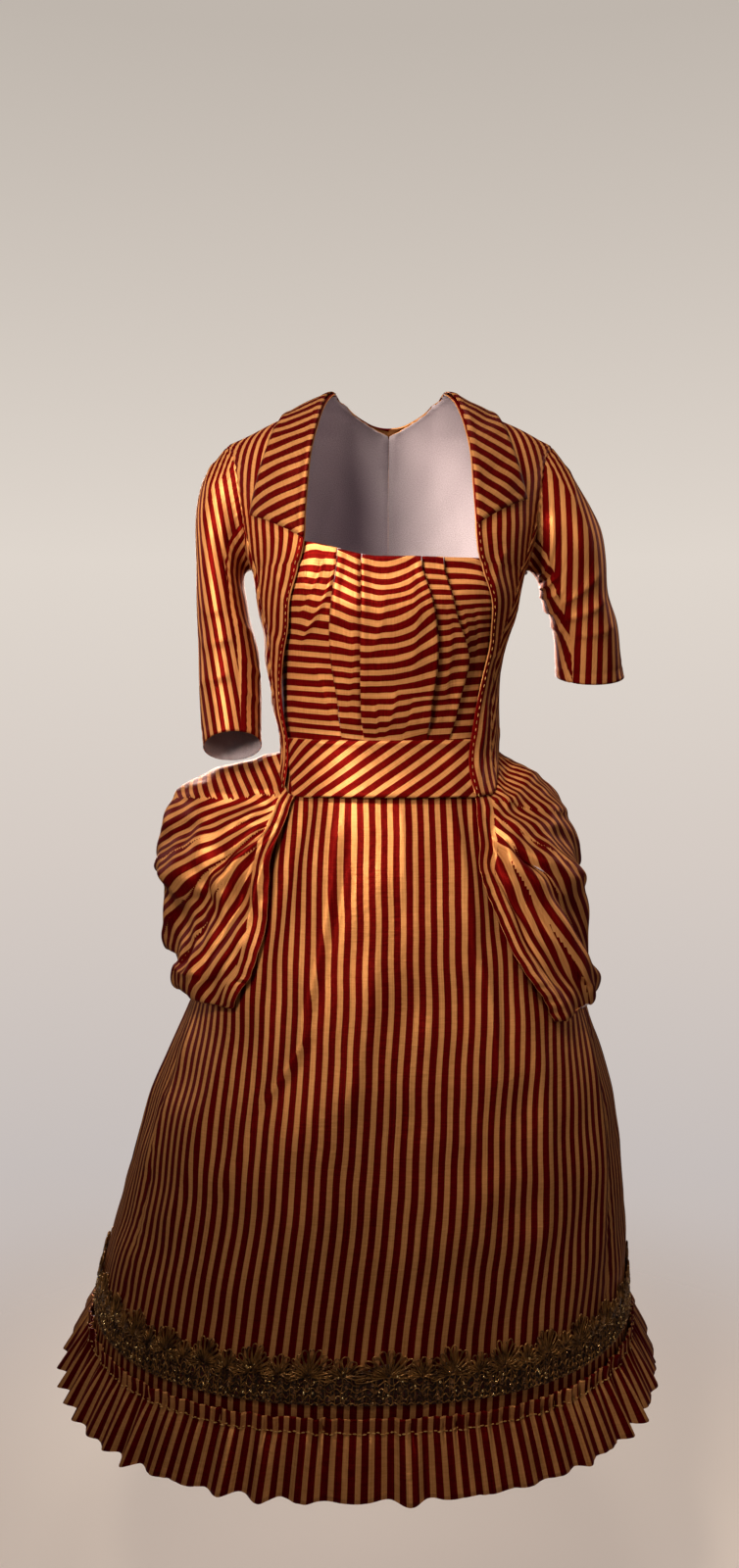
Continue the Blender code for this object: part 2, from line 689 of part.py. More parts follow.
# Front edge of each pannier, in degrees from the front, down its length
DRAPE_FRONT_COLUMNS = ("v", "right", "left")
DRAPE_FRONT_ROWS = (
    (0.00, 48.5, 40.0),
    (0.19, 47.0, 35.0),
    (0.35, 46.0, 31.0),
    (0.50, 43.5, 31.0),
    (0.62, 40.5, 33.5),
    (0.74, 40.0, 37.5),
    (0.86, 42.0, 42.0),
    (1.00, 45.0, 46.0),
)
DRAPE_FOLDS = {"right": (4.0, 0.0085), "left": (4.5, 0.0070)}     # count, depth
DRAPE_COLUMNS_PANNIER = 15
DRAPE_COLUMNS_BUSTLE = 16
TOP_DROP, MIDDLE_DROP, PINCH_DROP, LOW_DROP = 0.042, 0.133, 0.160, 0.223


def drape_point(angle, v, edge_distance, side):
    """A point of the drape: v runs from the waist seam, 0, to its turned-under bottom, 1."""
    top, middle, pinch, low, bottom = (along(DRAPE_ROWS, angle, c) for c in range(1, 6))
    seam = waist_seam(angle if abs(angle) <= 180 else 360 - abs(angle)) - SEAM
    tuck = 0.012 * smooth((low - 0.016) / 0.020) - 0.004
    knots = (
        (0.00, seam, JACKET_LIFT),
        (0.09, seam - 0.018, 0.55 * top),
        (0.19, seam - TOP_DROP, top),
        (0.34, (seam - TOP_DROP + WAIST_SEAM - MIDDLE_DROP) / 2, (top + middle) / 2 * 1.03),
        (0.49, WAIST_SEAM - MIDDLE_DROP, middle),
        (0.58, WAIST_SEAM - PINCH_DROP, pinch),
        (0.74, WAIST_SEAM - LOW_DROP, low),
        (0.86, bottom + 0.020, 0.85 * low + 0.001),
        (0.94, bottom, 0.50 * low + 0.003),
        (1.00, bottom + tuck, 0.0075),
    )
    z = along(knots, v, 1)
    reach = along(knots, v, 2)
    count, depth = DRAPE_FOLDS["right" if side < 0 else "left"]
    fan = math.atan2(v, edge_distance / 70.0 + 0.02) / (math.pi / 2)
    strength = smooth(edge_distance / 25.0) * smooth((v - 0.12) / 0.28) * (1 - smooth((v - 0.80) / 0.18))
    strength *= 1 - smooth((edge_distance - 60.0) / 16.0)
    reach += depth * strength * math.cos(math.tau * count * fan)
    around_back = 180.0 - abs(angle) if abs(angle) <= 180 else abs(angle) - 180.0
    swag = math.cos(math.tau * (2.6 * v - 0.25 * math.cos(math.radians(around_back * 1.6))))
    behind = 1 - smooth((around_back - 22.0) / 26.0)
    reach += 0.012 * swag * behind * smooth(v / 0.15) * (1 - smooth((v - 0.80) / 0.18))
    return on_skirt(angle, z, reach)


def make_drape(satin):
    levels = spread(1.0, 0.0, DRAPE_LEVELS)
    for name, side in (("right", -1), ("left", 1)):
        rows = []
        for v in levels:
            edge = along(DRAPE_FRONT_ROWS, v, column(DRAPE_FRONT_COLUMNS, name))
            start, stop = side * edge, side * (DRAPE_SEAM_ANGLE - 0.12)
            row = []
            for share in spread(0.0, 1.0, DRAPE_COLUMNS_PANNIER):
                angle = start + (stop - start) * share**1.15
                row.append(drape_point(angle, v, abs(angle - start), side))
            rows.append(row if side > 0 else row[::-1])
        cloth(f"pannier_{name}", rows, satin)
    rows = []
    for v in levels:
        row = []
        for angle in spread(DRAPE_SEAM_ANGLE + 0.12, 360 - DRAPE_SEAM_ANGLE - 0.12, DRAPE_COLUMNS_BUSTLE):
            signed = angle if angle <= 180 else angle - 360
            row.append(drape_point(signed, v, 999.0, 1))
        rows.append(row)
    cloth("bustle_puff", rows, satin)


def main():
    for piece in list(bpy.data.objects):
        bpy.data.objects.remove(piece)
    dress = bpy.data.collections.new("bustle_dress")
    bpy.context.scene.collection.children.link(dress)
    satin = new_material("striped_satin")
    lace = new_material("metal_lace")
    make_skirt(satin)
    make_lace(lace)
    make_ruffle(satin)
    make_plastron(satin)
    make_belt(satin)
    make_jacket(satin)
    for name, side in (("right", -1), ("left", 1)):
        make_sleeve(name, side, satin)
    make_collar(satin)
    make_drape(satin)


main()
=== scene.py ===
import math

import bpy
import numpy as np
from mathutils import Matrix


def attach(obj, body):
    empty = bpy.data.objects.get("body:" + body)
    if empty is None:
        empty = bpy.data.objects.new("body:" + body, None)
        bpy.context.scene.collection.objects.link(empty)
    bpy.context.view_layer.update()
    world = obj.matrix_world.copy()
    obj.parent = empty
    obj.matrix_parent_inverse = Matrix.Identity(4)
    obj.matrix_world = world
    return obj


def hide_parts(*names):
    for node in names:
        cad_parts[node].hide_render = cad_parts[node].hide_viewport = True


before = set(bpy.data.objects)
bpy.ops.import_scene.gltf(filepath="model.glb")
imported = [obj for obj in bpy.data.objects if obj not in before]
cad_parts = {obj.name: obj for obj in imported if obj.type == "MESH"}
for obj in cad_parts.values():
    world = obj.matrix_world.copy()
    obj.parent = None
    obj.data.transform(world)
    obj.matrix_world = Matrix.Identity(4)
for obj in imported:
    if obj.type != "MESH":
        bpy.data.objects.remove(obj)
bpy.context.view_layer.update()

# The dress's form, as its solids follow it: metres, z up, the front towards -y
form = {
    "waist": -0.372, "waistSeam": -0.362, "underarm": -0.160,
    "neckSide": 0.050, "neckTop": 0.030, "shoulderTip": 0.178, "shoulderDrop": 0.061,
    "squareness": 2.4, "yokeFlare": 0.8, "seam": 0.0006,
}
lifts = {"skirt": 0.0015, "plastron": 0.0020, "belt": 0.0065, "jacket": 0.0090, "collar": 0.0118}
wall = 0.0010  # shown thickness of the satin with its backing
stripePitch = 0.0127  # one red and one gold stripe: half an inch

formRows = (  # height, half width, depth to the front, depth to the back, sideways shift
    (-1.060, 0.3100, 0.3090, 0.395, -0.0340),
    (-1.005, 0.3050, 0.3000, 0.385, -0.0320),
    (-0.956, 0.2990, 0.2910, 0.374, -0.0295),
    (-0.913, 0.2925, 0.2820, 0.362, -0.0250),
    (-0.864, 0.2840, 0.2700, 0.347, -0.0185),
    (-0.813, 0.2750, 0.2570, 0.330, -0.0125),
    (-0.750, 0.2600, 0.2395, 0.307, -0.0085),
    (-0.678, 0.2350, 0.2170, 0.278, -0.0030),
    (-0.600, 0.2060, 0.1890, 0.243, 0.0000),
    (-0.540, 0.1820, 0.1660, 0.212, 0.0000),
    (-0.490, 0.1620, 0.1450, 0.180, 0.0000),
    (-0.440, 0.1410, 0.1220, 0.143, 0.0000),
    (-0.405, 0.1265, 0.1020, 0.112, 0.0000),
    (-0.372, 0.1170, 0.0890, 0.088, 0.0000),
    (-0.335, 0.1155, 0.0880, 0.084, 0.0000),
    (-0.285, 0.1165, 0.0945, 0.087, 0.0000),
    (-0.235, 0.1240, 0.1080, 0.093, 0.0000),
    (-0.200, 0.1360, 0.1170, 0.099, 0.0000),
    (-0.160, 0.1440, 0.1160, 0.103, 0.0000),
)


def smooth(t):
    t = np.clip(t, 0.0, 1.0)
    return t * t * (3.0 - 2.0 * t)


def hermite(xs, ys, x):
    # a smooth curve through rows of values, each row of which may be an array as large as x
    xs = np.asarray(xs, float)
    x = np.clip(x, xs[0], xs[-1])
    i = np.clip(np.searchsorted(xs, x, side="right") - 1, 0, len(xs) - 2)
    ys = np.asarray(ys, float)
    if ys.ndim == 1:
        def pick(k):
            return ys[k]
    else:
        def pick(k):
            return np.take_along_axis(ys, np.asarray(k)[None], 0)[0]
    before, after = np.maximum(i - 1, 0), np.minimum(i + 2, len(xs) - 1)
    x0, x1 = xs[i], xs[i + 1]
    y0, y1, span = pick(i), pick(i + 1), x1 - x0
    slope0 = (y1 - pick(before)) / (x1 - xs[before]) * span
    slope1 = (pick(after) - y0) / (xs[after] - x0) * span
    t = (x - x0) / span
    return ((2 * t**3 - 3 * t**2 + 1) * y0 + (t**3 - 2 * t**2 + t) * slope0
            + (3 * t**2 - 2 * t**3) * y1 + (t**3 - t**2) * slope1)


def along(rows, x, column):
    table = np.array(rows, float)
    return hermite(table[:, 0], table[:, column], np.asarray(x, float))


def power(value, exponent):
    return np.copysign(np.abs(value) ** exponent, value)


def shoulderSeam(x):
    fall = form["shoulderDrop"] / (form["shoulderTip"] - form["neckSide"])
    return form["neckTop"] - fall * np.maximum(0.0, np.abs(x) - form["neckSide"])


def halfAt(level):
    rise = np.sin(np.clip(level, 0, 1) * np.pi / 2)
    half = along(formRows, form["underarm"] + np.minimum(level, 0), 1)
    return half + np.where(level > 0, (form["shoulderTip"] - half) * rise ** form["yokeFlare"], 0.0)


def onForm(angle, level):
    # level below 0 is a height under the underarm; 0 to 1 climbs a quarter ellipse to the shoulder
    angle, level = np.broadcast_arrays(np.asarray(angle, float), np.asarray(level, float))
    a = np.radians(angle)
    across = power(np.sin(a), 2 / form["squareness"])
    ahead = power(np.cos(a), 2 / form["squareness"])
    z = form["underarm"] + np.minimum(level, 0)
    depth = np.where(ahead > 0, along(formRows, z, 2), along(formRows, z, 3))
    rise = np.sin(np.clip(level, 0, 1) * np.pi / 2)
    lean = np.cos(np.clip(level, 0, 1) * np.pi / 2)
    x = halfAt(level) * across + np.where(level > 0, 0.0, along(formRows, z, 4))
    z = z + (shoulderSeam(x) - form["underarm"]) * rise
    return np.stack((x, -depth * lean * ahead, z), -1)


def unit(v):
    return v / np.maximum(np.linalg.norm(v, axis=-1, keepdims=True), 1e-12)


def lifted(angle, level, lift):
    angle, level = np.broadcast_arrays(np.asarray(angle, float), np.asarray(level, float))
    small = 0.004
    high = np.where(level > 0, np.minimum(level + small, 1.0), level + small)
    high = np.where((level <= 0) & (level > -small), level, high)
    around = onForm(angle + 0.5, level) - onForm(angle - 0.5, level)
    up = onForm(angle, high) - onForm(angle, level - small)
    return onForm(angle, level) + unit(np.cross(around, up)) * np.asarray(lift)[..., None]


def angleAt(x, level, back=False):
    share = np.clip(x / halfAt(level), 0.0, 1.0)
    angle = np.degrees(np.arcsin(share ** (form["squareness"] / 2)))
    return 180.0 - angle if back else angle


def levelAt(z, x):
    rise = (z - form["underarm"]) / (shoulderSeam(x) - form["underarm"])
    yoke = np.arcsin(np.clip(rise, 0.0, 1.0)) / (np.pi / 2)
    return np.where(z <= form["underarm"], z - form["underarm"], yoke)


def onFront(x, z, lift):
    level = levelAt(z, x)
    return lifted(np.copysign(angleAt(np.abs(x), level), x), level, lift)


# Materials

def linear(code):
    # sRGB hex to linear, as the shader wants it
    values = [int(code[i:i + 2], 16) / 255 for i in (1, 3, 5)]
    return tuple(v / 12.92 if v <= 0.04045 else ((v + 0.055) / 1.055) ** 2.4 for v in values) + (1.0,)


def addNode(tree, kind, inputs=None, **settings):
    node = tree.nodes.new(kind)
    for name, value in settings.items():
        setattr(node, name, value)
    for key, value in (inputs or {}).items():
        if isinstance(value, bpy.types.NodeSocket):
            tree.links.new(value, node.inputs[key])
        else:
            node.inputs[key].default_value = value
    return node


def newMaterial(name, roughness, **constants):
    material = bpy.data.materials.new(name)
    material.use_nodes = True
    shader = material.node_tree.nodes["Principled BSDF"]
    shader.inputs["Roughness"].default_value = roughness
    for key, value in constants.items():
        shader.inputs[key].default_value = value
    return material, material.node_tree, shader


def math2(tree, operation, a, b=0.0, c=0.0):
    return addNode(tree, "ShaderNodeMath", {0: a, 1: b, 2: c}, operation=operation).outputs[0]


def mixColour(tree, factor, a, b, blend="MIX"):
    node = addNode(tree, "ShaderNodeMix", {0: factor, 6: a, 7: b}, data_type="RGBA", blend_type=blend)
    return node.outputs[2]


def noiseOn(tree, vector, stretch, scale, detail=2.0):
    # noise on a stretched copy of a vector, its scale given per metre
    moved = addNode(tree, "ShaderNodeVectorMath", {0: vector, 1: stretch}, operation="MULTIPLY")
    noise = addNode(tree, "ShaderNodeTexNoise", {"Vector": moved.outputs[0], "Scale": scale, "Detail": detail})
    return noise.outputs["Fac"]


def mapRange(tree, value, low, high, toLow, toHigh, kind="SMOOTHSTEP"):
    inputs = {0: value, 1: low, 2: high, 3: toLow, 4: toHigh}
    return addNode(tree, "ShaderNodeMapRange", inputs, interpolation_type=kind).outputs[0]


satin = {
    "gold": "#da9a64", "goldShade": "#b47641", "red": "#6d0709", "redShade": "#440203",
    "redShare": 0.56,  # of one pitch
    "metallic": 0.42,  # the lustre of satin takes the colour of its own threads, as a metal's does
    "edgeTint": "#c47c50",  # the gleam stays warm where the cloth turns away
    "edge": 0.02,  # softness of a stripe's edge, in pitches: a quarter millimetre
    "thread": 0.0011,  # warp threads, drawn four times as coarse as real ones so that they show
    "slub": 0.0016,  # weft slubs
}


def stripes(tree, uv):
    # colour of the satin: crimson warp stripes on a gold ground, and each thread a little uneven
    parts = addNode(tree, "ShaderNodeSeparateXYZ", {0: uv})
    wander = noiseOn(tree, uv, (14, 14, 1), 1.0)
    u = math2(tree, "MULTIPLY_ADD", wander, 0.0012, parts.outputs[0])
    turn = math2(tree, "FRACT", math2(tree, "MULTIPLY", u, 1 / stripePitch))
    fromRed = math2(tree, "ABSOLUTE", math2(tree, "SUBTRACT", turn, 0.5))
    half = satin["redShare"] / 2
    red = mapRange(tree, fromRed, half - satin["edge"], half + satin["edge"], 1.0, 0.0)
    warp = noiseOn(tree, uv, (1 / satin["thread"], 9, 1), 1.0)
    weft = noiseOn(tree, uv, (70, 1 / satin["slub"], 1), 1.0)
    tone = math2(tree, "ADD", math2(tree, "MULTIPLY", warp, 0.6), math2(tree, "MULTIPLY", weft, 0.4))
    tone = mapRange(tree, tone, 0.30, 0.70, 0.0, 1.0, "LINEAR")
    gold = mixColour(tree, tone, linear(satin["goldShade"]), linear(satin["gold"]))
    crimson = mixColour(tree, tone, linear(satin["redShade"]), linear(satin["red"]))
    return mixColour(tree, red, gold, crimson), red, warp, weft


def makeSatin(name, dim=1.0):
    # striped silk satin, yarn-dyed: a sheen that breaks over every fold, crisp stripe edges
    material, tree, shader = newMaterial(name, 0.42, **{
        "Metallic": satin["metallic"] * dim, "Specular IOR Level": 0.12,
        "Specular Tint": linear(satin["edgeTint"]),
    })
    uv = addNode(tree, "ShaderNodeUVMap", uv_map="cloth").outputs[0]
    colour, red, warp, weft = stripes(tree, uv)
    place = addNode(tree, "ShaderNodeTexCoord").outputs["Object"]
    cloud = mapRange(tree, noiseOn(tree, place, (1, 1, 1), 9.0, 3.0), 0.3, 0.7, 0.86 * dim, 1.06 * dim, "LINEAR")
    grey = addNode(tree, "ShaderNodeCombineColor", {0: cloud, 1: cloud, 2: cloud}).outputs[0]
    tree.links.new(mixColour(tree, 1.0, colour, grey, "MULTIPLY"), shader.inputs["Base Color"])
    rough = mapRange(tree, weft, 0.25, 0.75, 0.34, 0.48, "LINEAR")
    tree.links.new(rough, shader.inputs["Roughness"])
    ribs = math2(tree, "ADD", math2(tree, "MULTIPLY", warp, 0.5), weft)
    crinkle = noiseOn(tree, uv, (1, 1, 1), 160.0, 2.0)
    height = math2(tree, "MULTIPLY_ADD", crinkle, 2.0, ribs)
    bump = addNode(tree, "ShaderNodeBump", {"Strength": 0.35, "Distance": 0.0006, "Height": height})
    tree.links.new(bump.outputs[0], shader.inputs["Normal"])
    return material


def makeLining():
    # glazed cotton lining: pale, flat, with a fine plain weave
    material, tree, shader = newMaterial("glazed cotton lining", 0.62, **{"Specular IOR Level": 0.35})
    uv = addNode(tree, "ShaderNodeUVMap", uv_map="cloth").outputs[0]
    weave = noiseOn(tree, uv, (900, 900, 1), 1.0)
    tone = mapRange(tree, weave, 0.3, 0.7, 0.0, 1.0, "LINEAR")
    colour = mixColour(tree, tone, linear("#a79aa6"), linear("#c9bfc9"))
    tree.links.new(colour, shader.inputs["Base Color"])
    bump = addNode(tree, "ShaderNodeBump", {"Strength": 0.2, "Distance": 0.0003, "Height": weave})
    tree.links.new(bump.outputs[0], shader.inputs["Normal"])
    return material


def makeThreadMaterial(name, dark, light, roughness, metallic):
    # metal-wrapped thread: fine winding lines and tarnish in patches
    material, tree, shader = newMaterial(name, roughness, Metallic=metallic)
    place = addNode(tree, "ShaderNodeTexCoord").outputs["Object"]
    patch = noiseOn(tree, place, (1, 1, 1), 120.0, 3.0)
    tone = mapRange(tree, patch, 0.35, 0.65, 0.0, 1.0, "LINEAR")
    tree.links.new(mixColour(tree, tone, linear(dark), linear(light)), shader.inputs["Base Color"])
    winding = noiseOn(tree, place, (1, 1, 1), 900.0, 1.0)
    bump = addNode(tree, "ShaderNodeBump", {"Strength": 0.4, "Distance": 0.0003, "Height": winding})
    tree.links.new(bump.outputs[0], shader.inputs["Normal"])
    return material


def makeLaceNet():
    # bobbin net of tarnished gilt thread: the satin below is painted into its openings and darkened there with painted
    # shade
    material, tree, shader = newMaterial("tarnished gilt net with painted shade in its openings", 0.5, Metallic=0.25)
    uv = addNode(tree, "ShaderNodeUVMap", uv_map="cloth").outputs[0]
    below, _, _, _ = stripes(tree, uv)
    wobble = addNode(tree, "ShaderNodeTexNoise", {"Vector": uv, "Scale": 180.0, "Detail": 2.0})
    bent = addNode(tree, "ShaderNodeVectorMath", {0: wobble.outputs["Color"], 1: (0.004, 0.004, 0)},
                   operation="MULTIPLY")
    bent = addNode(tree, "ShaderNodeVectorMath", {0: uv, 1: bent.outputs[0]}, operation="ADD")
    inputs = {"Vector": bent.outputs[0], "Scale": 215.0}
    cell = addNode(tree, "ShaderNodeTexVoronoi", inputs, feature="DISTANCE_TO_EDGE")
    thread = mapRange(tree, cell.outputs["Distance"], 0.07, 0.19, 1.0, 0.0)
    twist = noiseOn(tree, uv, (1, 1, 1), 700.0, 2.0)
    metal = mixColour(tree, twist, linear("#150b05"), linear("#452a16"))
    # painted shade: the satin seen in the openings is mixed more than half way towards near black
    shadedSatinBelow = mixColour(tree, 0.55, below, linear("#120a05"))
    tree.links.new(mixColour(tree, thread, shadedSatinBelow, metal), shader.inputs["Base Color"])
    height = math2(tree, "MULTIPLY_ADD", twist, 0.5, thread)
    bump = addNode(tree, "ShaderNodeBump", {"Strength": 0.8, "Distance": 0.0012, "Height": height})
    tree.links.new(bump.outputs[0], shader.inputs["Normal"])
    return material


stripedSatin = makeSatin("striped silk satin")
satinReverse = makeSatin("satin seen from its dull side", 0.55)
cottonLining = makeLining()
giltThread = makeThreadMaterial("tarnished gilt thread", "#4a2a12", "#ba8448", 0.30, 0.55)
giltSpangle = makeThreadMaterial("bright gilt spangle", "#e0b060", "#ffe6aa", 0.26, 0.9)
silkStitch = makeThreadMaterial("gold silk sewing thread", "#a5702e", "#dba860", 0.38, 0.0)
laceNetting = makeLaceNet()
print("materials made")


# Cloth

def arcAcross(points):
    steps = np.linalg.norm(np.diff(points, axis=1), axis=-1)
    return np.concatenate((np.zeros((len(points), 1)), np.cumsum(steps, axis=1)), axis=1)


def arcUp(points):
    steps = np.linalg.norm(np.diff(points, axis=0), axis=-1)
    return np.concatenate((np.zeros((1, points.shape[1])), np.cumsum(steps, axis=0)), axis=0)


def gridNormals(points):
    across = np.gradient(points, axis=1)
    up = np.gradient(points, axis=0)
    return unit(np.cross(across, up))


def turned(u, v, degrees):
    # cloth coordinates whose stripes are turned from the lines of constant u
    a = math.radians(degrees)
    return np.stack((u * math.cos(a) + v * math.sin(a), v * math.cos(a) - u * math.sin(a)), -1)


def creases(table, across, down):
    # each row: start and end in millimetres, width, height (below 0 a trough), cloth taken up.
    # A fold is soft on one side and steep on the other, as folded satin is.
    height, taken = np.zeros_like(across), np.zeros_like(across)
    for x0, y0, x1, y1, width, rise, tuck in table:
        dx, dy = (x1 - x0) / 1000, (y1 - y0) / 1000
        length = math.hypot(dx, dy)
        px, py = across - x0 / 1000, down - y0 / 1000
        run = (px * dx + py * dy) / length**2
        bend = 0.05 * length * np.sin(np.pi * np.clip(run, 0, 1) + 0.7)
        side = (px * dy - py * dx) / length + bend
        ends = smooth((run + 0.08) / 0.28) * smooth((1.08 - run) / 0.28)
        reach = width / 1000 * np.where(side > 0, 1.25, 0.55)
        height += rise / 1000 * ends * np.exp(-np.abs(side / reach) ** 1.35)
        taken += tuck / 1000 * ends * np.tanh(side / (width / 2500))
    return height, taken


def softWaves(across, down, seed, size, depth):
    # faint unevenness that no sewn cloth is without
    chance = np.random.default_rng(seed)
    total = np.zeros_like(across)
    for _ in range(9):
        heading, phase = chance.uniform(0, math.pi), chance.uniform(0, math.tau)
        wave = size * chance.uniform(0.6, 1.7)
        total += np.sin((across * math.cos(heading) + down * math.sin(heading)) * math.tau / wave + phase)
    return depth * total / 3


def seamPucker(distance, run, seed, rise=0.0011, pucker=0.0007, spacing=0.011):
    # an edge that is sewn dips, and the stitching gathers it a little
    waves = np.sin(run * math.tau / spacing + 1.7 * np.sin(run * 61 + seed) + seed)
    return -rise * np.exp(-((distance / 0.0035) ** 2)) + pucker * waves * np.exp(-distance / 0.009)


def makeCloth(name, points, uvs, closed=False, island=None, inside=None, thickness=wall):
    # a sheet from a grid of points. A closed grid repeats its first column as its last.
    rows, columns = points.shape[:2]
    kept = columns - 1 if closed else columns
    number = np.arange(rows * kept).reshape(rows, kept)
    right = np.roll(number, -1, axis=1)[:, :columns - 1]
    left = number[:, :columns - 1]
    faces = np.stack((left[:-1], right[:-1], right[1:], left[1:]), -1).reshape(-1, 4)
    mesh = bpy.data.meshes.new(name)
    mesh.from_pydata(points[:, :kept].reshape(-1, 3).tolist(), [], faces.tolist())
    corners = [np.stack((uv[:-1, :-1], uv[:-1, 1:], uv[1:, 1:], uv[1:, :-1]), 2) for uv in uvs]
    chosen = corners[0]
    if island is not None:
        for k in range(1, len(corners)):
            chosen = np.where((island == k)[..., None, None], corners[k], chosen)
    layer = mesh.uv_layers.new(name="cloth")
    layer.data.foreach_set("uv", chosen.reshape(-1).astype(np.float32))
    mesh.materials.append(stripedSatin)
    mesh.materials.append(inside or satinReverse)
    mesh.shade_smooth()
    piece = bpy.data.objects.new(name, mesh)
    bpy.context.scene.collection.objects.link(piece)
    body = piece.modifiers.new("wall", "SOLIDIFY")
    body.thickness, body.offset = thickness, -1.0
    body.material_offset = 1
    return piece


def standFor(piece, slot, *nodes):
    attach(piece, "root")
    if nodes:
        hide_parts(*nodes)
    return piece


# Skirt

skirt = {
    "top": -0.372, "bottom": -1.004, "rows": 92, "frontColumns": 110, "goreColumns": 80,
    "panelHalf": 0.285,  # from the centre of the front panel to its seams, along the cloth
    "goreTilt": (24.0, 7.0),  # degrees between a gore's stripes and the seam, at the hip and the hem
    "goreDrift": 0.00575,  # how far those stripes drift in a row of the grid, at a full turn
    "dartAngles": (-38.0, 34.0), "dartDepth": 0.0045, "dartWidth": 5.0,
    "backFolds": 11, "backFoldDepth": 0.006,
}
skirtCreases = (  # across and height in millimetres, then width, height, cloth taken up
    (-66, -425, -84, -640, 8, 4.0, 1.5),
    (-84, -630, -132, -716, 7, 4.5, 1.0),
    (-132, -700, -165, -800, 10, 2.5, 0.5),
    (-44, -418, -58, -560, 7, -3.0, 1.0),
    (-20, -560, -34, -720, 10, 2.4, 0.5),
    (8, -414, 16, -520, 6, 2.2, 0.5),
    (60, -420, 92, -590, 8, 4.0, 1.5),
    (86, -560, 118, -690, 9, 3.2, 0.8),
    (96, -430, 128, -560, 8, -3.6, 0.5),
    (30, -600, 44, -800, 13, 2.2, 0.4),
    (150, -640, 182, -860, 15, 2.8, 0.4),
    (-190, -650, -226, -850, 15, 2.8, 0.4),
    (-262, -640, -300, -840, 14, 3.0, 0.5),
    (244, -640, 276, -880, 16, 3.0, 0.5),
    (330, -620, 372, -900, 15, 3.2, 0.5),
    (-350, -620, -396, -880, 15, 3.2, 0.5),
    (-440, -640, -480, -900, 16, 3.0, 0.5),
    (430, -640, 474, -880, 16, 3.0, 0.5),
    (-530, -650, -560, -900, 15, 2.6, 0.4),
    (540, -650, 575, -890, 15, 2.6, 0.4),
)


def skirtFold(angle, z):
    underBelt = smooth((skirt["top"] - 0.02 - z) / 0.05) * (1 - smooth((-0.48 - z) / 0.16))
    tucks = sum(np.exp(-(((angle - a) / skirt["dartWidth"]) ** 2)) for a in skirt["dartAngles"])
    turn = np.mod(angle, 360.0)
    behind = smooth((turn - 105.0) / 30.0) * smooth((255.0 - turn) / 30.0)
    falling = smooth((-0.62 - z) / 0.08) * (1 - smooth((-0.80 - z) / 0.11))
    wave = np.cos(np.radians(turn - 180.0) * 360.0 / 150.0 * skirt["backFolds"] / 2)
    return -skirt["dartDepth"] * tucks * underBelt + skirt["backFoldDepth"] * wave * behind * falling


def onSkirt(angle, z, lift):
    level = z - form["underarm"]
    around = onForm(angle + 0.5, level) - onForm(angle - 0.5, level)
    out = unit(np.stack((around[..., 1], -around[..., 0], np.zeros_like(around[..., 0])), -1))
    return onForm(angle, level) + out * (lift + skirtFold(angle, z))[..., None]


def skirtColumns(heights):
    # angles whose columns follow the panel seams, and the arc from the centre front at each
    fine = np.linspace(-180.0, 180.0, 1081)
    angles, arcs, seams = [], [], []
    for z in heights:
        ring = onSkirt(fine, np.full_like(fine, z), np.full_like(fine, lifts["skirt"]))
        arc = arcAcross(ring[None])[0]
        arc -= np.interp(0.0, fine, arc)
        half = min(skirt["panelHalf"], 0.6 * arc[-1], -0.6 * arc[0])
        wanted = np.concatenate((
            np.linspace(arc[0], -half, skirt["goreColumns"] + 1)[:-1],
            np.linspace(-half, half, skirt["frontColumns"] + 1),
            np.linspace(half, arc[-1], skirt["goreColumns"] + 1)[1:],
        ))
        angles.append(np.interp(wanted, arc, fine))
        arcs.append(wanted)
        seams.append(half)
    return np.array(angles), np.array(arcs), np.array(seams)[:, None]


def makeSkirt():
    heights = np.linspace(skirt["bottom"], skirt["top"], skirt["rows"] + 1)
    angles, arcs, seams = skirtColumns(heights)
    z = np.broadcast_to(heights[:, None], angles.shape)
    fold, taken = creases(skirtCreases, arcs, z)
    uneven = softWaves(arcs, z, 3, 0.13, 0.0016) + softWaves(arcs, z, 4, 0.045, 0.0006)
    uneven = uneven * smooth((-0.40 - z) / 0.1)
    seamDip = seamPucker(np.abs(np.abs(arcs) - seams), z, 5.0, 0.0012, 0.0006)
    hemEase = smooth((z + 0.962) / 0.05)  # lies plain under the lace
    rise = (fold + uneven + seamDip) * hemEase * smooth((skirt["top"] - 0.012 - z) / 0.03)
    points = onSkirt(angles, z, lifts["skirt"] + rise)
    down = skirt["top"] - z
    tiltHigh, tiltLow = skirt["goreTilt"]
    tilt = np.radians(tiltHigh + (tiltLow - tiltHigh) * smooth(down / 0.62))
    spread = np.cumsum((np.sin(tilt) * skirt["goreDrift"])[::-1], axis=0)[::-1]
    side = np.sign(arcs)
    gore = np.stack((side * ((np.abs(arcs) - seams) * np.cos(tilt) - spread) + 0.004 + taken, z), -1)
    front = np.stack((arcs + taken, z), -1)
    column = np.arange(points.shape[1] - 1)
    inFront = (column >= skirt["goreColumns"]) & (column < skirt["goreColumns"] + skirt["frontColumns"])
    island = np.broadcast_to(np.where(inFront, 0, 1), (points.shape[0] - 1, points.shape[1] - 1))
    piece = makeCloth("skirtCloth", points, [front, gore], closed=True, island=island)
    standFor(piece, "striped_satin", "skirt")


makeSkirt()
print("skirt made")


# Ruffle

ruffle = {
    "waves": 56, "columns": 1400, "rows": 18,
    "bottom": -1.0470, "gatherLine": -0.9975, "top": -0.9845,
    # at the gathering thread, then what the hem and the header add to it
    "reach": (0.0039, 0.0251, 0.0027), "depth": (0.0010, 0.0070, 0.0015),
    "puckers": 310, "girth": 2.2,  # metres round the hem
    "pinches": 150, "pinchLength": (0.012, 0.042), "pinchDepth": (0.0012, 0.0030), "pinchWidth": 0.0030,
}
waveSize = np.random.default_rng(12).uniform(0.16, 1.2, ruffle["waves"]) ** 1.8


